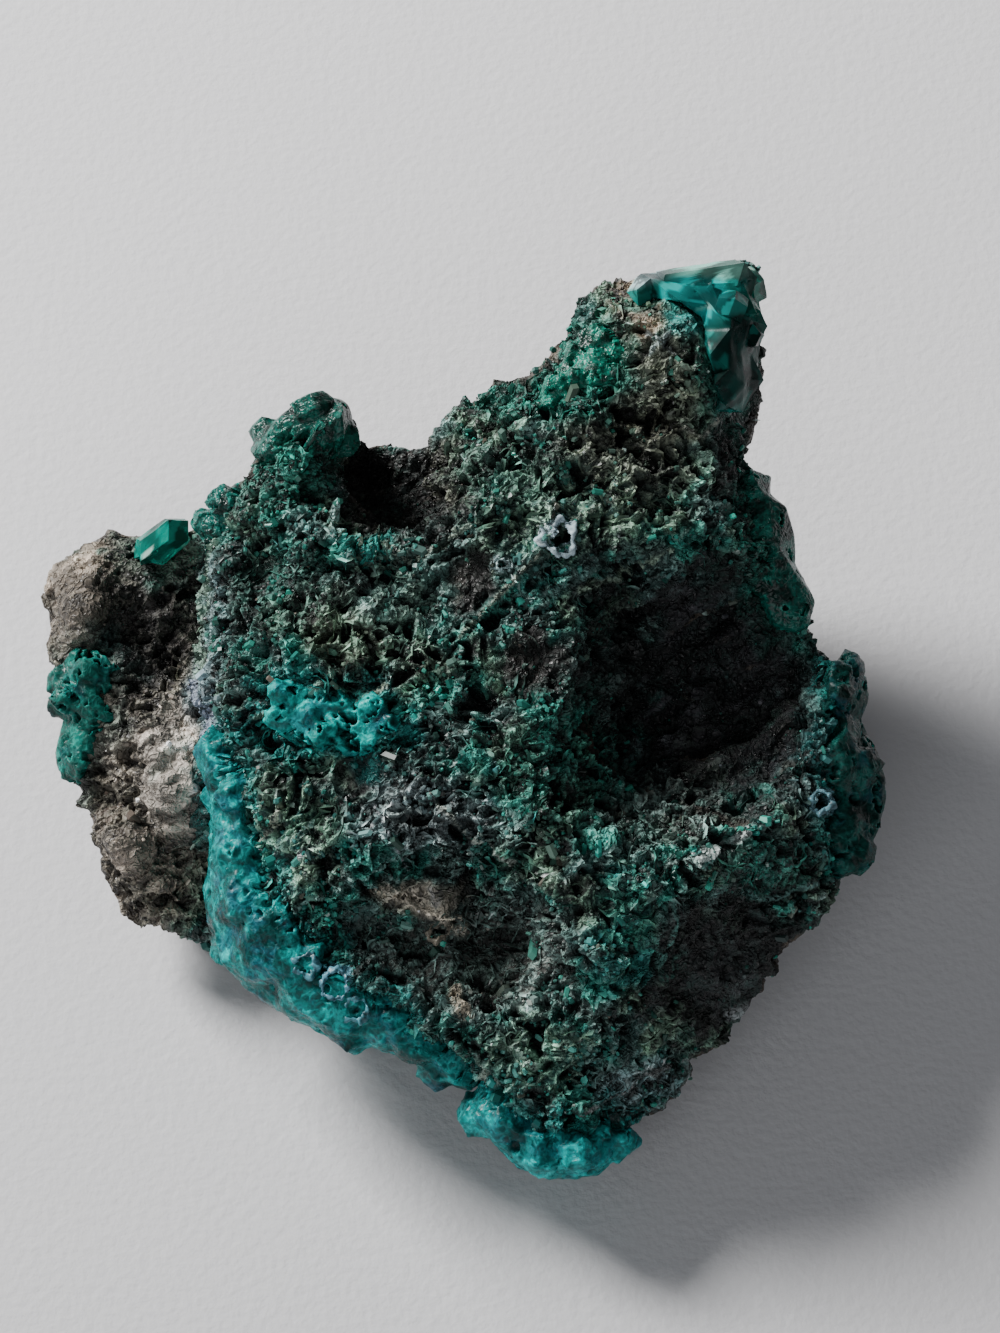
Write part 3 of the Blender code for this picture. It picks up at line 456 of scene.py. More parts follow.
def chip_at(place, size):
    """Of a broken face: its height, about -1 to 1, a number of its own, 0 to 1, and how far its border is."""
    spot = place / size + drift(place / size * 0.7, (0, 23, 0)) * 0.5
    distances, centres = noise.voronoi(spot)
    lean = noise.cell_vector(centres[0] * 7.3) - Vector((0.5, 0.5, 0.5))
    return (spot - centres[0]).dot(lean) * 3, noise.cell(centres[0] * 3.1), distances[1] - distances[0]


def to_mode(name):
    bpy.ops.object.mode_set(mode=name)


def take_up(obj):
    """Selects one object alone."""
    bpy.ops.object.select_all(action="DESELECT")
    obj.select_set(True)
    bpy.context.view_layer.objects.active = obj


def choose_faces(obj, chosen=True):
    """Edit mode with just the chosen faces selected, or all of them."""
    take_up(obj)
    to_mode("EDIT")
    bpy.ops.mesh.select_mode(type="FACE")
    bpy.ops.mesh.select_all(action="DESELECT")
    to_mode("OBJECT")
    obj.data.polygons.foreach_set("select", np.full(len(obj.data.polygons), chosen))
    to_mode("EDIT")


def copy_node(node, name):
    """A piece that starts as a copy of a solid of the frame, with its corners merged."""
    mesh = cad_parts[node].data.copy()
    mesh.materials.clear()
    mesh.name = name
    obj = add_object(name, mesh)
    choose_faces(obj)
    bpy.ops.mesh.remove_doubles(threshold=0.000001)
    to_mode("OBJECT")
    return obj


def apply_modifier(obj, kind, **settings):
    take_up(obj)
    modifier = obj.modifiers.new(kind.title(), kind)
    for key, value in settings.items():
        setattr(modifier, key, value)
    bpy.ops.object.modifier_apply(modifier=modifier.name)


def face_values(obj, name):
    values = np.empty(len(obj.data.polygons) * 3)
    obj.data.polygons.foreach_get(name, values)
    return values.reshape(-1, 3)


def fill_out_knob(obj):
    """The knob's broad top leans out towards the notch."""
    places = vertex_values(obj, "co")
    across, up, out = show_places(places)
    near = np.exp(-((across - KNOB_TOP[0]) ** 2 + (up - KNOB_TOP[1]) ** 2) / 4.5)
    move_vertices(obj, places + np.outer(near, (ACROSS * 0.8 + UP * 0.6) * KNOB_PUSH * MM))


rock = copy_node("host_rock", "rock")
apply_modifier(rock, "REMESH", mode="VOXEL", voxel_size=ROCK_VOXEL)
apply_modifier(rock, "SMOOTH", factor=0.5, iterations=3)
choose_faces(rock, face_values(rock, "normal") @ np.array(OUT) > 0.05)
bpy.ops.mesh.subdivide(number_cuts=1)
to_mode("OBJECT")
apply_modifier(rock, "TRIANGULATE")
fill_out_knob(rock)

places, normals = vertex_values(rock, "co"), vertex_values(rock, "normal")
tint, crest, pitted = ground_at(places, normals)
near = in_mm(places)
pits = np.array([pit_at(p) for p in near])
streaks = drawn_out(places)
boxes = np.array([boxwork_at(p) for p in streaks])
chips = np.array([chip_at(p, CHIP_SIZE) for p in streaks])
flakes = np.array([chip_at(p, CHIP_SIZE * 0.42) for p in streaks])
crag = cloud(near, CRAG_SIZE, 6, 4)
depth = PIT_DEPTH * pits * ramp(0.1, 0.8, pitted) + BOX_DEPTH * boxes[:, 1] * (0.25 + 0.75 * pitted)
above_foot = ramp(*FOOT_RISE, places[:, 2] / MM)
lift = CRAG * crag + CRAG * cloud(near, CRAG_SIZE * 2.2, 52, 2) - depth + 0.14 * boxes[:, 0] * pitted + 0.2
lift += CHIP_RISE * (chips[:, 0] + 0.4 * flakes[:, 0]) * (0.4 + 0.6 * pitted)
tint *= np.exp(1.1 * (chips[:, 1] - 0.5) + 0.9 * (flakes[:, 1] - 0.5))[:, None]
# A few chips take the pale wall colour: pale shards that partly stand in as painted glints.
tint = blend(tint, crest, 0.55 * ramp(0.8, 0.84, flakes[:, 1]) * pitted)
# hollow: how deep a point lies in the pits and cells. The shader darkens the colour by it: partly dark rock, partly
# painted shade.
hollow = np.clip(pits * 0.85 * ramp(0.1, 0.8, pitted) + boxes[:, 1] * 0.55 * (0.3 + 0.7 * pitted), 0, 1)
border = (1 - ramp(0.03, 0.14, chips[:, 2])) * ramp(-0.1, 0.3, cloud(near, 2.2, 51, 2))
wall = np.clip(np.maximum(boxes[:, 0], border) * (1 - 0.7 * pits), 0, 1) * (0.2 + 0.8 * pitted)
add_rings_and_blades(places, lift, crest, wall, hollow)
under_clear = near_growth(clear_growths, places, 0, 2.2)
lift += (np.minimum(lift, -0.3) - lift) * under_clear
places += normals * (lift * above_foot * MM)[:, None]
places[:, 2] = np.maximum(places[:, 2], 0.0)
move_vertices(rock, places)
for name, values in (("tint", tint), ("crest", crest), ("pit", hollow), ("wall", wall)):
    store(rock, name, values)


def worked_out(tree, operation, first, second=0.5):
    """A sum on an output and a second output or number."""
    node = add_node(tree, "Math", links={0: first}, operation=operation)
    if isinstance(second, float):
        node.inputs[1].default_value = second
    else:
        tree.links.new(second, node.inputs[1])
    return node.outputs[0]


# The boxwork under half a millimetre: thin walls, the holes between them, single grains, and the height of all.
boxwork = bpy.data.node_groups.new("fine boxwork", "ShaderNodeTree")
for name in ("Scale", "Wall", "Hole", "Grain", "Height"):
    way = "INPUT" if name == "Scale" else "OUTPUT"
    boxwork.interface.new_socket(name, in_out=way, socket_type="NodeSocketFloat")
scale = boxwork.nodes.new("NodeGroupInput").outputs["Scale"]
place = add_node(boxwork, "TexCoord").outputs["Object"]
sheet = add_node(boxwork, "TexNoise", {"Detail": 1.5, "Distortion": 0.6}, {"Vector": place, "Scale": scale})
off = worked_out(boxwork, "ABSOLUTE", worked_out(boxwork, "SUBTRACT", sheet.outputs["Fac"]))
wall, hole = spread(boxwork, off, 1.0, 0.0, 0.0, 0.035), spread(boxwork, off, 0.0, 1.0, 0.03, 0.14)
speck = add_node(boxwork, "TexVoronoi", {"Scale": 5200.0}, {"Vector": place})
grains = add_node(boxwork, "SeparateColor", links={"Color": speck.outputs["Color"]})
height = worked_out(boxwork, "ADD", worked_out(boxwork, "MULTIPLY", hole, -0.9), wall)
height = worked_out(boxwork, "ADD", height, worked_out(boxwork, "MULTIPLY", grains.outputs["Green"]))
leave = boxwork.nodes.new("NodeGroupOutput")
fill_in(boxwork, leave, None, {"Wall": wall, "Hole": hole, "Grain": grains.outputs["Red"], "Height": height})


def fine_boxwork(tree, scale):
    return add_node(tree, "Group", {"Scale": scale}, node_tree=boxwork).outputs


def kept(tree, name, output="Color"):
    """A colour, or with Fac a number, that the mesh keeps at each vertex."""
    return add_node(tree, "Attribute", attribute_name=name).outputs[output]


material, tree, shader = new_material("host rock")
pit = kept(tree, "pit", "Fac")
fine = fine_boxwork(tree, 1900.0)
grained = multiplied(tree, kept(tree, "tint"), spread(tree, fine["Grain"], 0.8, 1.25))
hole = worked_out(tree, "MULTIPLY", fine["Hole"], 0.45)
# Painted shade: the colour darkens towards a tenth in the pits and fine holes, over rock that is darker there, and the
# pale walls fade deep in the pits.
dark = add_node(tree, "Math", {2: 1.0}, {0: pit, 1: hole}, operation="SMOOTH_MAX").outputs[0]
shaded = multiplied(tree, grained, spread(tree, dark, 1.0, 0.1))
edge = worked_out(tree, "MAXIMUM", worked_out(tree, "MULTIPLY", fine["Wall"], 0.45), kept(tree, "wall", "Fac"))
edge = worked_out(tree, "MULTIPLY", edge, spread(tree, fine["Grain"], 0.0, 1.0, 0.05, 0.5))
edge = worked_out(tree, "MULTIPLY", edge, spread(tree, pit, 1.0, 0.15, 0.2, 0.75))
finish = add_node(tree, "Mix", links={0: edge, 6: shaded, 7: kept(tree, "crest")}, data_type="RGBA")
fill_in(tree, shader, None, {
    "Base Color": finish.outputs[2], "Roughness": spread(tree, fine["Grain"], 0.35, 0.95),
    "Normal": relief(tree, fine["Height"], 0.9, 0.00011)})
rock.data.materials.append(material)


def split_off(obj, chosen, name):
    """The chosen faces as a piece of their own."""
    choose_faces(obj, chosen)
    bpy.ops.mesh.separate(type="SELECTED")
    to_mode("OBJECT")
    piece = next(other for other in bpy.context.selected_objects if other != obj)
    piece.name = name
    return piece


def shell_tree(mesh):
    return BVHTree.FromPolygons([v.co for v in mesh.vertices], [p.vertices[:] for p in mesh.polygons])


# The small growths are seated on the whole ground, before it is parted into pieces.
ground_tree = shell_tree(rock.data)
triangles = vertex_values(rock, "co")[np.array([p.vertices[:] for p in rock.data.polygons])]
rock_pieces = []
for name, end in (("rock_left", -7.0), ("rock_middle", 6.5), ("rock_right", math.inf)):
    turned = face_values(rock, "normal") @ np.array(OUT) > -0.15
    rock_pieces.append(split_off(rock, turned & (show_places(face_values(rock, "center"))[0] < end), name))
rock.name = "rock_back"
for piece in rock_pieces + [rock]:
    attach(piece, "root")
    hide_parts("host_rock")

# ---------------- waxy crusts
# Teal crusts of the same mineral along the rims and on the tip: smooth, lumpy, a little translucent. They are
# grown tight onto the rock, break up towards their borders, and have paler edges and a few small holes. Their
# hollows, holes and fine pores are darkened with painted shade.

CRUST_VOXEL = 0.15 * MM
HOLE_SPACING = 2.1  # mm, between the small holes in a crust
BULGE_ROUNDS = 6  # of smoothing: what an edge of a crust is measured against
SEAT_REACH = 0.42  # mm from the plain rock, within which a crust's underside lies
# Of each node: the piece's name, its colour, its thickness and the height of its lumps in mm, how far it is
# broken up, and its share of pale blue.
WAXY = {
    "left_rim_crust": ("left_rim_skin", (0.001, 0.165, 0.157), 1.5, 0.18, 0.0, 0.35),
    "tip_crust": ("tip_skin", (0.001, 0.2, 0.195), 1.5, 0.2, -0.1, 0.25),
    "right_rim_crust": ("right_rim_skin", (0.004, 0.046, 0.038), 1.1, 0.08, 0.16, 0.18),
    "block_crust": ("block_skin", (0.004, 0.088, 0.07), 0.95, 0.09, 0.48, 0.1),
    "centre_crust": ("centre_skin", (0.001, 0.22, 0.2), 0.9, 0.1, 0.5, 0.3),
}
solid_tree = shell_tree(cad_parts["host_rock"].data)


def height_over_rock(points):
    """The way out of the plain rock at each point, and how high above it the point is, in mm."""
    found = [solid_tree.find_nearest(Vector(p)) for p in points]
    outward = np.array([f[1] for f in found])
    feet = np.array([f[0] for f in found])
    return outward, ((points - feet) * outward).sum(axis=1) / MM


def seat_on_rock(obj, sink=SEAL):
    """Sinks the underside of a crust into the rock, so that no gap shows at its edge."""
    places = vertex_values(obj, "co")
    outward, height = height_over_rock(places)
    low = np.abs(height) < SEAT_REACH
    places[low] -= outward[low] * ((height[low] + sink) * MM)[:, None]
    move_vertices(obj, places)


def break_up(obj, thickness, amount, size):
    """Wears a crust down at its borders and in scattered holes, and returns how high it still stands."""
    places = vertex_values(obj, "co")
    outward, height = height_over_rock(places)
    near = in_mm(places)
    share = np.clip(height / thickness, 0, 1)
    worn = 0.85 * cloud(near, size, 21) + 0.55 * cloud(near, size * 0.36, 22, 2)
    worn = ramp(0.0, 0.3, worn + 0.9 * (1 - share) - 0.78 + amount)
    places -= outward * (worn * (np.maximum(height, 0) + 0.5) * MM)[:, None]
    move_vertices(obj, places)
    return share * (1 - worn)


def grow_crust(node, name, voxel, thickness, broken, size):
    """A crust as a piece of its own, seated on the rock and broken up, and how high it still stands."""
    piece = copy_node(node, name)
    seat_on_rock(piece)
    apply_modifier(piece, "REMESH", mode="VOXEL", voxel_size=voxel)
    apply_modifier(piece, "SMOOTH", factor=0.5, iterations=2)
    apply_modifier(piece, "TRIANGULATE")
    return piece, break_up(piece, thickness, broken, size)


def bulge(obj):
    """How far each vertex stands out of its surroundings, in mm: more than 0 on edges, less in hollows."""
    places, normals = vertex_values(obj, "co"), vertex_values(obj, "normal")
    even = add_object("even", obj.data.copy())
    apply_modifier(even, "SMOOTH", factor=0.5, iterations=BULGE_ROUNDS)
    stands = ((places - vertex_values(even, "co")) * normals).sum(axis=1) / MM
    bpy.data.meshes.remove(even.data)
    return stands


def lumps_at(place):
    """Height of the rounded lumps of a crust, in lump heights."""
    shift = drift(place * 0.9, (0, 0, 13))
    big = noise.voronoi(place / 1.5 + shift * 0.4)[0][0]
    small = noise.voronoi(place / 0.62 + shift)[0][0]
    return (0.55 - big) * 1.1 + (0.5 - small) * 0.45 + 0.35 * noise.fractal(place / 0.8, 0.8, 2.0, 2)


waxy_material, tree, shader = new_material("waxy crust")
fine = fine_boxwork(tree, 1700.0)
mottled = multiplied(tree, kept(tree, "tint"), spread(tree, fine["Grain"], 0.7, 1.35))
# Painted shade: the colour is darker in the fine holes.
mottled = multiplied(tree, mottled, spread(tree, fine["Hole"], 1.0, 0.55, 0.4, 1.0))
fill_in(tree, shader, {
    "IOR": 1.45, "Specular IOR Level": 0.2, "Subsurface Weight": 0.2, "Subsurface Radius": (0.1, 1.0, 0.9),
    "Subsurface Scale": 0.0005}, {
    "Base Color": mottled, "Roughness": spread(tree, fine["Grain"], 0.2, 0.5),
    "Normal": relief(tree, fine["Height"], 0.25, 0.0001)})

skin_trees = []  # the finished crusts, for what grows on them
for node, (name, base, thickness, lump, broken, blue) in WAXY.items():
    piece, stands = grow_crust(node, name, CRUST_VOXEL, thickness, broken, 1.2)
    places, normals = vertex_values(piece, "co"), vertex_values(piece, "normal")
    near = in_mm(places)
    boxes = np.array([boxwork_at(p) for p in near])
    height = np.array([lumps_at(p) for p in near]) * lump - 0.05 * boxes[:, 1]
    hole = 1 - ramp(0.1, 0.22, np.array([noise.voronoi(p / HOLE_SPACING)[0][0] for p in near]))
    hole *= ramp(0.0, 0.25, cloud(near, 3.0, 34, 2)) * (thickness > 1.0)
    places += normals * ((height - 0.3 * hole) * MM)[:, None]
    places[:, 2] = np.maximum(places[:, 2], 0.0)
    move_vertices(piece, places)
    out_of = bulge(piece)
    sky, dim = ramp(0.0, 0.5, cloud(near, 1.5, 31)), ramp(-0.1, 0.5, cloud(near, 2.4, 32))
    base = np.array(base)
    tint = blend(base, base * 0.25, dim * 0.9)
    tint = blend(tint, (0.03, 0.16, 0.24), sky * blue)
    tint = blend(tint, base * 2.0 + (0.004, 0.03, 0.03), ramp(0.03, 0.1, out_of) * 0.7)
    # Painted shade: darker in the crust's hollows.
    tint = blend(tint, (0.004, 0.02, 0.02), ramp(0.02, 0.1, -out_of) * 0.8)
    tint = blend(tint, base * 1.3 + (0.004, 0.01, 0.01), (1 - ramp(0.1, 0.35, stands)) * 0.4)
    glow = ramp(0.15, 0.45, cloud(near, 1.1, 33)) * (1 - dim)
    tint = blend(tint, base * 2.4, glow * 0.8)
    # Painted shade: the small holes are darkened nearly to black.
    tint *= (1 - 0.93 * hole)[:, None]
    store(piece, "tint", np.clip(tint, 0.001, 1))
    skin_trees.append(shell_tree(piece.data))
    piece.data.shade_smooth()
    piece.data.materials.append(waxy_material)
    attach(piece, "root")
    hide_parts(node)

# ---------------- crystal crusts
# Darker green crusts made of small dioptase crystals: flat glassy faces in deep green with paler edges, on a
# thin plate of the same mineral that is grown onto the rock. Their hollows are darkened with painted shade.

SPAR_VOXEL = 0.13 * MM
# Of each node: the piece's name, its colour, its thickness in mm, how far it is broken up and how rough it is.
SPARRY = {
    "shoulder_crust": ("shoulder_crystals", (0.001, 0.09, 0.068), 1.1, 0.0, 0.25),
    "knob_crust": ("knob_crystals", (0.001, 0.072, 0.054), 1.0, 0.05, 0.45),
    "corner_crust": ("corner_crystals", (0.002, 0.1, 0.08), 0.9, 0.15, 1.0),
    "ridge_crust": ("ridge_crystals", (0.001, 0.14, 0.096), 0.9, 0.1, 0.9),
}
spar_material, tree, shader = new_material("green spar")
fine = fine_boxwork(tree, 2100.0)
mottled = multiplied(tree, kept(tree, "tint"), spread(tree, fine["Grain"], 0.45, 1.7))
fill_in(tree, shader, {"Roughness": 0.32, "IOR": 1.67, "Specular IOR Level": 0.22},
        {"Base Color": mottled, "Normal": relief(tree, fine["Height"], 0.35, 0.0001)})

for node, (name, base, thickness, broken, rough) in SPARRY.items():
    piece = grow_crust(node, name, SPAR_VOXEL, thickness, broken, 0.9)[0]
    if node == "knob_crust":
        fill_out_knob(piece)
    places, normals = vertex_values(piece, "co"), vertex_values(piece, "normal")
    near = in_mm(places)
    boxes = np.array([boxwork_at(p) for p in near])
    lift = (0.08 * cloud(near, 0.8, 41) - 0.13 * boxes[:, 1]) * rough
    move_vertices(piece, places + normals * (lift * MM)[:, None])
    out_of = bulge(piece)
    base = np.array(base)
    tint = blend(base, base * 0.2, ramp(-0.1, 0.5, cloud(near, 1.6, 42)))
    tint = blend(tint, base * 2.2 + (0.01, 0.03, 0.02), ramp(0.02, 0.08, out_of) * 0.7)
    # Painted shade: darker in the crust's hollows.
    tint = blend(tint, (0.003, 0.012, 0.009), ramp(0.02, 0.09, -out_of) * 0.8)
    store(piece, "tint", np.clip(tint, 0.001, 1))
    piece.data.materials.append(spar_material)
    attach(piece, "root")
    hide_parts(node)

# ---------------- clear crystals
# The largest dioptase crystals, on the peak and on the left block: clear emerald green with bright faces,
# so that the rock under them shows through. The pale streaks on their faces are painted highlights.

clear_material, tree, shader = new_material("clear dioptase")
place = add_node(tree, "TexCoord").outputs["Object"]
veil = add_node(tree, "TexNoise", {"Scale": 700.0, "Detail": 5.0, "Roughness": 0.7}, {"Vector": place})
absorb = add_node(tree, "VolumeAbsorption", {"Color": (0.02, 0.8, 0.7, 1), "Density": 350.0})
tree.links.new(absorb.outputs["Volume"], tree.nodes["Material Output"].inputs["Volume"])
fill_in(tree, shader, {"IOR": 1.5, "Transmission Weight": 0.35, "Specular IOR Level": 0.05},
        {"Base Color": kept(tree, "tint"), "Roughness": spread(tree, veil.outputs["Fac"], 0.25, 0.5, 0.4, 0.7),
         "Normal": relief(tree, veil.outputs["Fac"], 0.25, 0.0001)})

# The colours of the clear crystals: (across, up, half width, half height) in mm and the colour there.
GLASS_ZONES = {
    "slab on top": ((14.6, 27.2, 4.6, 1.3), (0.26, 0.66, 0.55)),
    "frosty end": ((10.2, 26.8, 1.6, 1.4), (0.4, 0.58, 0.6)),
    "corner": ((17.8, 25.2, 1.4, 2.8), (0.003, 0.22, 0.16)),
    "teal heart": ((13.4, 24.9, 2.4, 1.6), (0.001, 0.4, 0.385)),
    "dark plate": ((16.9, 20.8, 2.8, 3.4), (0.001, 0.095, 0.078)),
    "block crystal": ((-19.4, 11.2, 3.0, 3.0), (0.002, 0.4, 0.31)),
}
FLATTENED = 0.3  # how much of the block crystal's thickness is gone
GLASS_CUTS, FACET_ANGLE = 7, math.radians(14)

for node, name in (("peak_crystals", "peak_glass"), ("block_crystal", "block_glass")):
    piece = copy_node(node, name)
    seat_on_rock(piece, sink=0.2)
    choose_faces(piece)
    bpy.ops.mesh.subdivide(number_cuts=GLASS_CUTS)
    to_mode("OBJECT")
    places = vertex_values(piece, "co")
    if node == "block_crystal":
        middle, over = places.mean(axis=0), np.array(UP * 0.8 - ACROSS * 0.6)
        places -= np.outer((places - middle) @ over, over) * FLATTENED
        move_vertices(piece, places)
    near = in_mm(places)
    move_vertices(piece, places + vertex_values(piece, "normal") * (0.05 * cloud(near, 0.9, 61) * MM)[:, None])
    across, up, out = show_places(places)
    wander = 0.25 * cloud(near, 1.2, 62)
    tint = (0.01, 0.26, 0.225)
    for zone, there in GLASS_ZONES.values():
        tint = blend(tint, there, inside(across, up, zone, wander, 0.7, 1.1))
    shards = np.array([chip_at(p, 0.9) for p in drawn_out(places)])
    # Painted highlights: pale streaks on a few shards, standing in for glints and reflections on the faces.
    glints = ramp(0.8, 0.86, shards[:, 1]) * ramp(0.0, 0.3, cloud(near, 1.6, 64))
    tint *= np.exp(1.3 * (shards[:, 1] - 0.5))[:, None]
    tint = blend(tint, (0.62, 0.9, 0.78), glints * 0.9)
    store(piece, "tint", np.clip(tint, 0.001, 0.95))
    bpy.ops.object.shade_smooth_by_angle(angle=FACET_ANGLE)
    piece.data.materials.append(clear_material)
    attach(piece, "root")
    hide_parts(node)

# ---------------- druse
# Thousands of small crystals over the show side: green where the ground is green, brown or grey grains
# elsewhere. Each is a short six-sided prism with three rhombs at its end, rooted in the rock.

CAP = 1.233 * 0.5  # of a crystal's width: the height of its pointed end
CRYSTAL_LEAN = 0.48  # how far the crystals lean at random
CRYSTAL_LENGTH = (0.48, 1.2)  # of a crystal's width, the least and the most
SMOOTH_PITS = 0.35  # the pitting up to which ground stays bare of small growths
WHITE_SHARE = 0.02  # of the crystals, the pale ones, which partly stand in as painted glints
corners = []
for level in (-1.0, 0.4):
    for k in range(6):
        lift = (0.0 if k % 2 else CAP * 0.5) if level > 0 else 0.0
        corners.append((0.5 * math.cos(math.pi * k / 3), 0.5 * math.sin(math.pi * k / 3), level + lift))
corners.append((0.0, 0.0, 0.4 + CAP))
CRYSTAL = np.array(corners)
sides = [(k, (k + 1) % 6, 6 + (k + 1) % 6, 6 + k) for k in range(6)]
CRYSTAL_FACES = np.array(sides + [(12, 6 + k, 6 + (k + 1) % 6, 6 + (k + 2) % 6) for k in (0, 2, 4)])


def scatter_crystals(name, count, size, seed):
    """Joined crystals at random places of the ground, each with its own lean, size and colour."""
    draw = np.random.default_rng(seed)
    a, b, c = triangles.transpose(1, 0, 2)
    cross = np.cross(b - a, c - a)
    areas = np.linalg.norm(cross, axis=1)
    centres = (a + b + c) / 3
    share = areas * druse_cover(centres, cross / np.maximum(areas, 1e-12)[:, None])
    picked = draw.choice(len(areas), count, p=share / share.sum())
    seats = centres[picked]
    normals = cross[picked] / areas[picked][:, None]
    axes = normals + CRYSTAL_LEAN * draw.normal(size=(count, 3))
    axes /= np.linalg.norm(axes, axis=1)[:, None]
    side = np.cross(axes, draw.normal(size=(count, 3)))
    side /= np.linalg.norm(side, axis=1)[:, None]
    widths = size * MM * np.exp(0.35 * draw.normal(size=count))
    lengths = widths * draw.uniform(*CRYSTAL_LENGTH, count)
    verts = seats[:, None, :]
    for k, (way, sizes) in enumerate(((side, widths), (np.cross(axes, side), widths), (axes, lengths))):
        verts = verts + CRYSTAL[None, :, k, None] * (way * sizes[:, None])[:, None, :]
    verts[..., 2] = np.maximum(verts[..., 2], 0.0)
    faces = (np.arange(count)[:, None, None] * len(CRYSTAL) + CRYSTAL_FACES[None]).reshape(-1, 4)
    mesh = bpy.data.meshes.new(name)
    mesh.from_pydata(verts.reshape(-1, 3), [], faces)
    obj = add_object(name, mesh)
    tints = druse_colour(seats, normals, draw)
    store(obj, "tint", np.repeat(np.clip(tints, 0.002, 1), len(CRYSTAL), axis=0))
    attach(obj, "root")
    return obj


druse_material, tree, shader = new_material("druse")
fill_in(tree, shader, {"Roughness": 0.35, "IOR": 1.6, "Specular IOR Level": 0.25}, {"Base Color": kept(tree, "tint")})


def bare_at(across, up):
    """How bare of small growths the smooth places of the ground are, 0 to 1."""
    bare = np.zeros(np.shape(across))
    for zone, _, _, strength, pits in GROUNDS.values():
        if pits <= SMOOTH_PITS:
            bare = np.maximum(bare, strength * inside(across, up, zone, 0, 0.7, 1.1))
    return bare


def druse_cover(points, normals):
    """How thickly the druse stands at each point."""
    across, up, out = show_places(points)
    bare = bare_at(across, up)
    patchy = np.array([noise.fractal(p / 2.4, 0.8, 2.0, 2) for p in in_mm(points)])
    facing = ramp(-0.1, 0.25, normals @ np.array(OUT))
    on_slab = 0.15 + 0.85 * ramp(-16.8, -15.4, across)
    bare = np.maximum(bare, near_growth(clear_growths, points, 0, 1.6))
    return facing * on_slab * np.clip(0.1 + 1.3 * patchy, 0.02, 1) * (1 - 0.93 * bare) + 0.003


def druse_colour(points, normals, draw):
    """Grains in the colour of the ground, emeralds where it is green, and a few pale ones, partly painted glints."""
    ground = ground_at(points, normals)[0]
    green = np.array([noise.fractal(p / 2.0 + Vector((7, 7, 7)), 0.8, 2.0, 3) for p in in_mm(points)])
    share = np.clip(0.35 + 1.1 * green, 0, 1) * ramp(-16.6, -15.4, show_places(points)[0])
    emerald = np.array((0.008, 0.13, 0.095)) * np.exp(np.clip(0.8 * draw.normal(size=len(points)), -1, 1.5))[:, None]
    mixed = ground * draw.uniform(0.6, 2.0, len(points))[:, None]
    mixed = blend(mixed, emerald, share * 0.8)
    # A few pale crystals: pale grains that also stand in as painted glints.
    pale_and_glint = draw.random(len(points)) < WHITE_SHARE
    mixed[pale_and_glint] = np.array((0.27, 0.36, 0.33)) * draw.uniform(0.4, 1.2, pale_and_glint.sum())[:, None]
    return mixed


for k, (count, size) in enumerate(((2600, 0.16), (1300, 0.22), (320, 0.3))):
    druse = scatter_crystals(f"druse_{k + 1}", count, size, 11 + k)
    druse.data.materials.append(druse_material)

# ---------------- thin walls and rings
# Thin blades of quartz and dioptase that stand on the ground between the pits, drawn out one way, and a few
# frosty rings round small holes. Both are grown onto the rock. The blades are paler along their tops, partly as a
# painted highlight, and darker at their feet as painted shade.

WALLS_ACROSS, WALLS_UP = (-17.0, 26.0), (-27.0, 28.0)  # mm, where walls may start
WALL_STEP, WALL_GAP = 0.3, 0.9  # mm, along a wall, and the gap at which it ends
WALL_ROOT = 0.12  # mm, how deep a wall is rooted in the rock


def on_ground(across, up, trees=(ground_tree,)):
    """Where the line through a place of the show side first meets a tree, and the way out there."""
    hits = [tree.ray_cast(show_point(across, up, 30), -OUT) for tree in trees]
    hits = [(hit[0], hit[1]) for hit in hits if hit[0] and hit[1].dot(OUT) > 0.1]
    return max(hits, key=lambda hit: hit[0].dot(OUT)) if hits else None


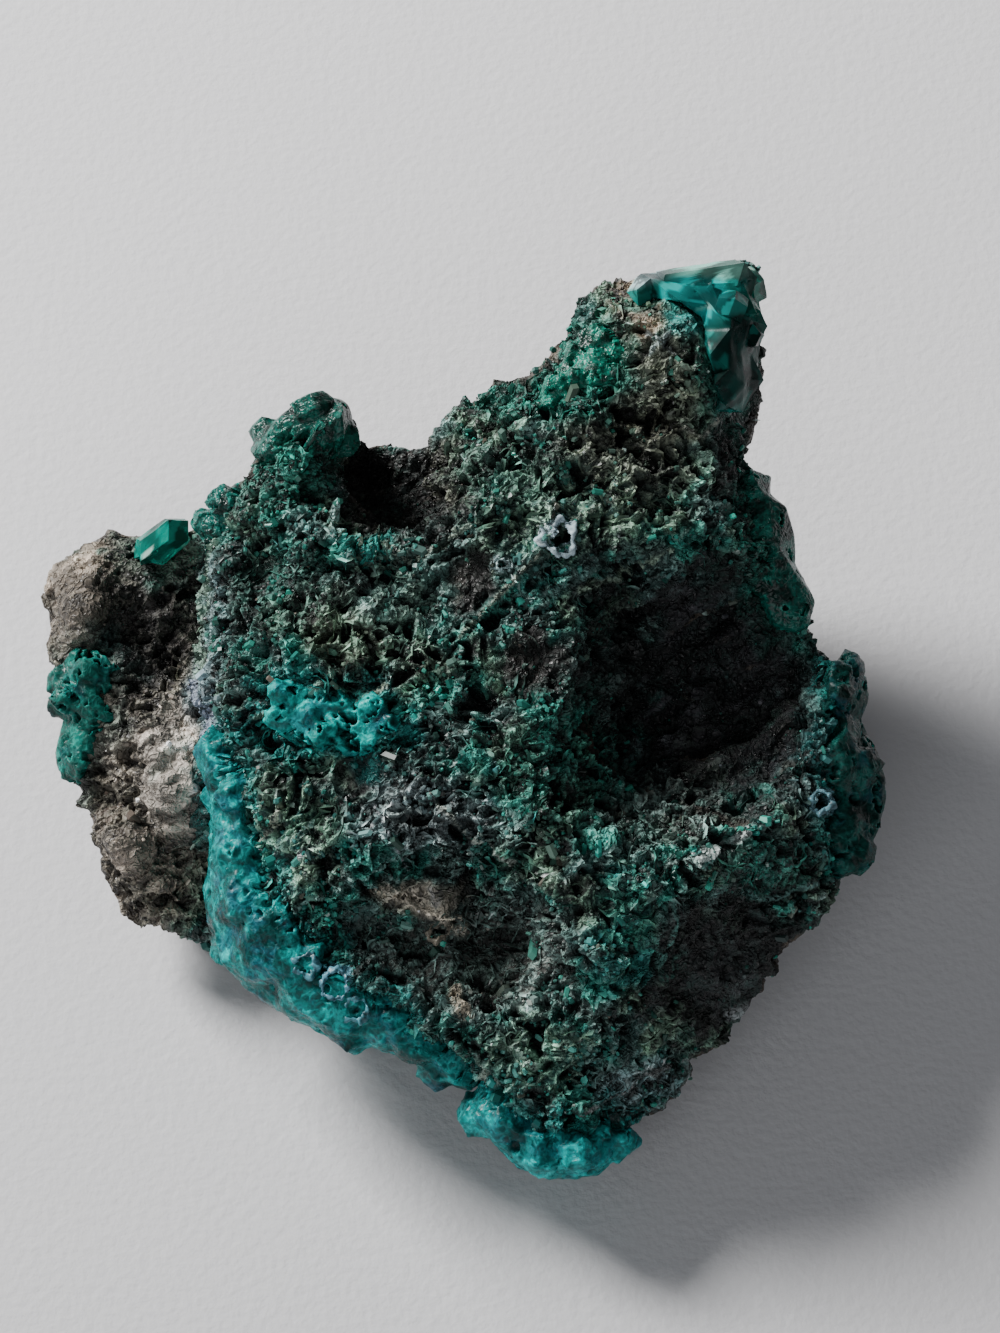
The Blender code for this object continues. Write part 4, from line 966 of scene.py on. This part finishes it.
def grow_walls(name, count, seed, height, thick):
    """Joined walls along winding lines on the ground, each with two feet in the rock and a top edge."""
    draw = np.random.default_rng(seed)
    verts, faces, tops = [], [], []
    for _ in range(count):
        x, y = draw.uniform(*WALLS_ACROSS), draw.uniform(*WALLS_UP)
        turn = math.atan2(STREAK.y, STREAK.x) + draw.normal() * 0.5
        steps, high = int(draw.integers(4, 12)), height * draw.uniform(0.4, 1.3)
        bend, lean = draw.normal() * 0.22, draw.normal() * 0.25
        if 1.3 * bare_at(x, y) > draw.random() or noise.noise(Vector((x, y, seed)) / 2.6) < -0.02:
            continue
        line = []
        for k in range(steps):
            found = on_ground(x, y)
            if found is None or line and (found[0] - line[-1][0]).length > WALL_GAP * MM:
                break
            line.append(found)
            turn += bend + draw.normal() * 0.35
            x, y = x + WALL_STEP * math.cos(turn), y + WALL_STEP * math.sin(turn)
        if len(line) < 3:
            continue
        first = len(verts)
        for k, (spot, normal) in enumerate(line):
            onward = (line[min(k + 1, len(line) - 1)][0] - line[max(k - 1, 0)][0]).normalized()
            aside = onward.cross(normal).normalized()
            rise = high * min(1, 2.2 * math.sin(math.pi * (k + 0.6) / (len(line) + 0.2))) * draw.uniform(0.3, 1.3)
            foot = spot - normal * WALL_ROOT * MM
            verts += [foot + aside * thick * MM, foot - aside * thick * MM, spot + (normal + aside * lean) * rise * MM]
            tops += [0, 0, 1]
        for k in range(len(line) - 1):
            a = first + 3 * k
            faces += [(a + 1, a, a + 3, a + 4), (a, a + 2, a + 5, a + 3), (a + 2, a + 1, a + 4, a + 5)]
        last = len(verts) - 3
        faces += [(first, first + 1, first + 2), (last + 2, last + 1, last)]
    mesh = bpy.data.meshes.new(name)
    mesh.from_pydata(verts, [], faces)
    walls = add_object(name, mesh)
    choose_faces(walls)
    bpy.ops.mesh.normals_make_consistent(inside=False)
    to_mode("OBJECT")
    places, tops = vertex_values(walls, "co"), np.array(tops)
    open_colour, pale, _ = ground_at(places, np.array(OUT))
    near = in_mm(places)
    # Painted light: the tops take the pale colour, sparse from place to place, partly as a painted highlight, and the
    # feet are darkened as painted shade.
    pale_top_and_highlight = 0.46 * np.exp(2.1 * cloud(near, 1.4, 71))[:, None]
    tint = blend(open_colour * 0.6, pale * pale_top_and_highlight, tops * 0.9)
    store(walls, "tint", np.clip(tint, 0.003, 0.9))
    walls.data.materials.append(druse_material)
    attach(walls, "root")


grow_walls("thin_walls", 2600, 31, 0.25, 0.065)
grow_walls("thin_walls_low", 1500, 32, 0.2, 0.055)

RING_APART = 9.0  # mm between the parts of the noise that two rings take
ring_parts, all_trees = [], [ground_tree] + skin_trees
for k, ((across, up, radius), colour) in enumerate(RINGS.values()):
    spot, normal = on_ground(across, up, all_trees)
    bpy.ops.mesh.primitive_torus_add(location=(0, 0, 0), major_segments=56, minor_segments=14,
                                     major_radius=radius * MM, minor_radius=radius * 0.26 * MM)
    ring = bpy.context.active_object
    places, normals = vertex_values(ring, "co"), vertex_values(ring, "normal")
    near = [p + Vector((RING_APART * k, 0, 0)) for p in in_mm(places)]
    uneven = radius * (0.45 * cloud(near, radius * 0.8, 72) - 0.06) + 0.1 * cloud(near, 0.3, 73, 2)
    places += normals * (uneven * MM)[:, None]
    turn = OUT.lerp(normal, 0.3).to_track_quat("Z", "Y").to_matrix()
    around = [on_ground(across + radius * math.cos(a), up + radius * math.sin(a), all_trees) for a in range(6)]
    level = max(hit[0].dot(OUT) for hit in around if hit)
    middle = spot + OUT * (level - spot.dot(OUT) - 0.1 * MM)
    places = places * (1 + 0.35 * cloud(near, radius * 1.5, 75))[:, None]
    move_vertices(ring, places @ np.array(turn).T + np.array(middle))
    tint = np.array(colour) * np.clip(0.75 + 0.7 * cloud(near, 0.5, 74), 0.25, 1.3)[:, None]
    store(ring, "tint", np.clip(tint, 0.01, 0.95))
    ring_parts.append(ring)
rings = ring_parts[0]
take_up(rings)
for ring in ring_parts:
    ring.select_set(True)
bpy.ops.object.join()
rings.name = "frosty_rings"
rings.data.shade_smooth()
rings.data.materials.append(druse_material)
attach(rings, "root")
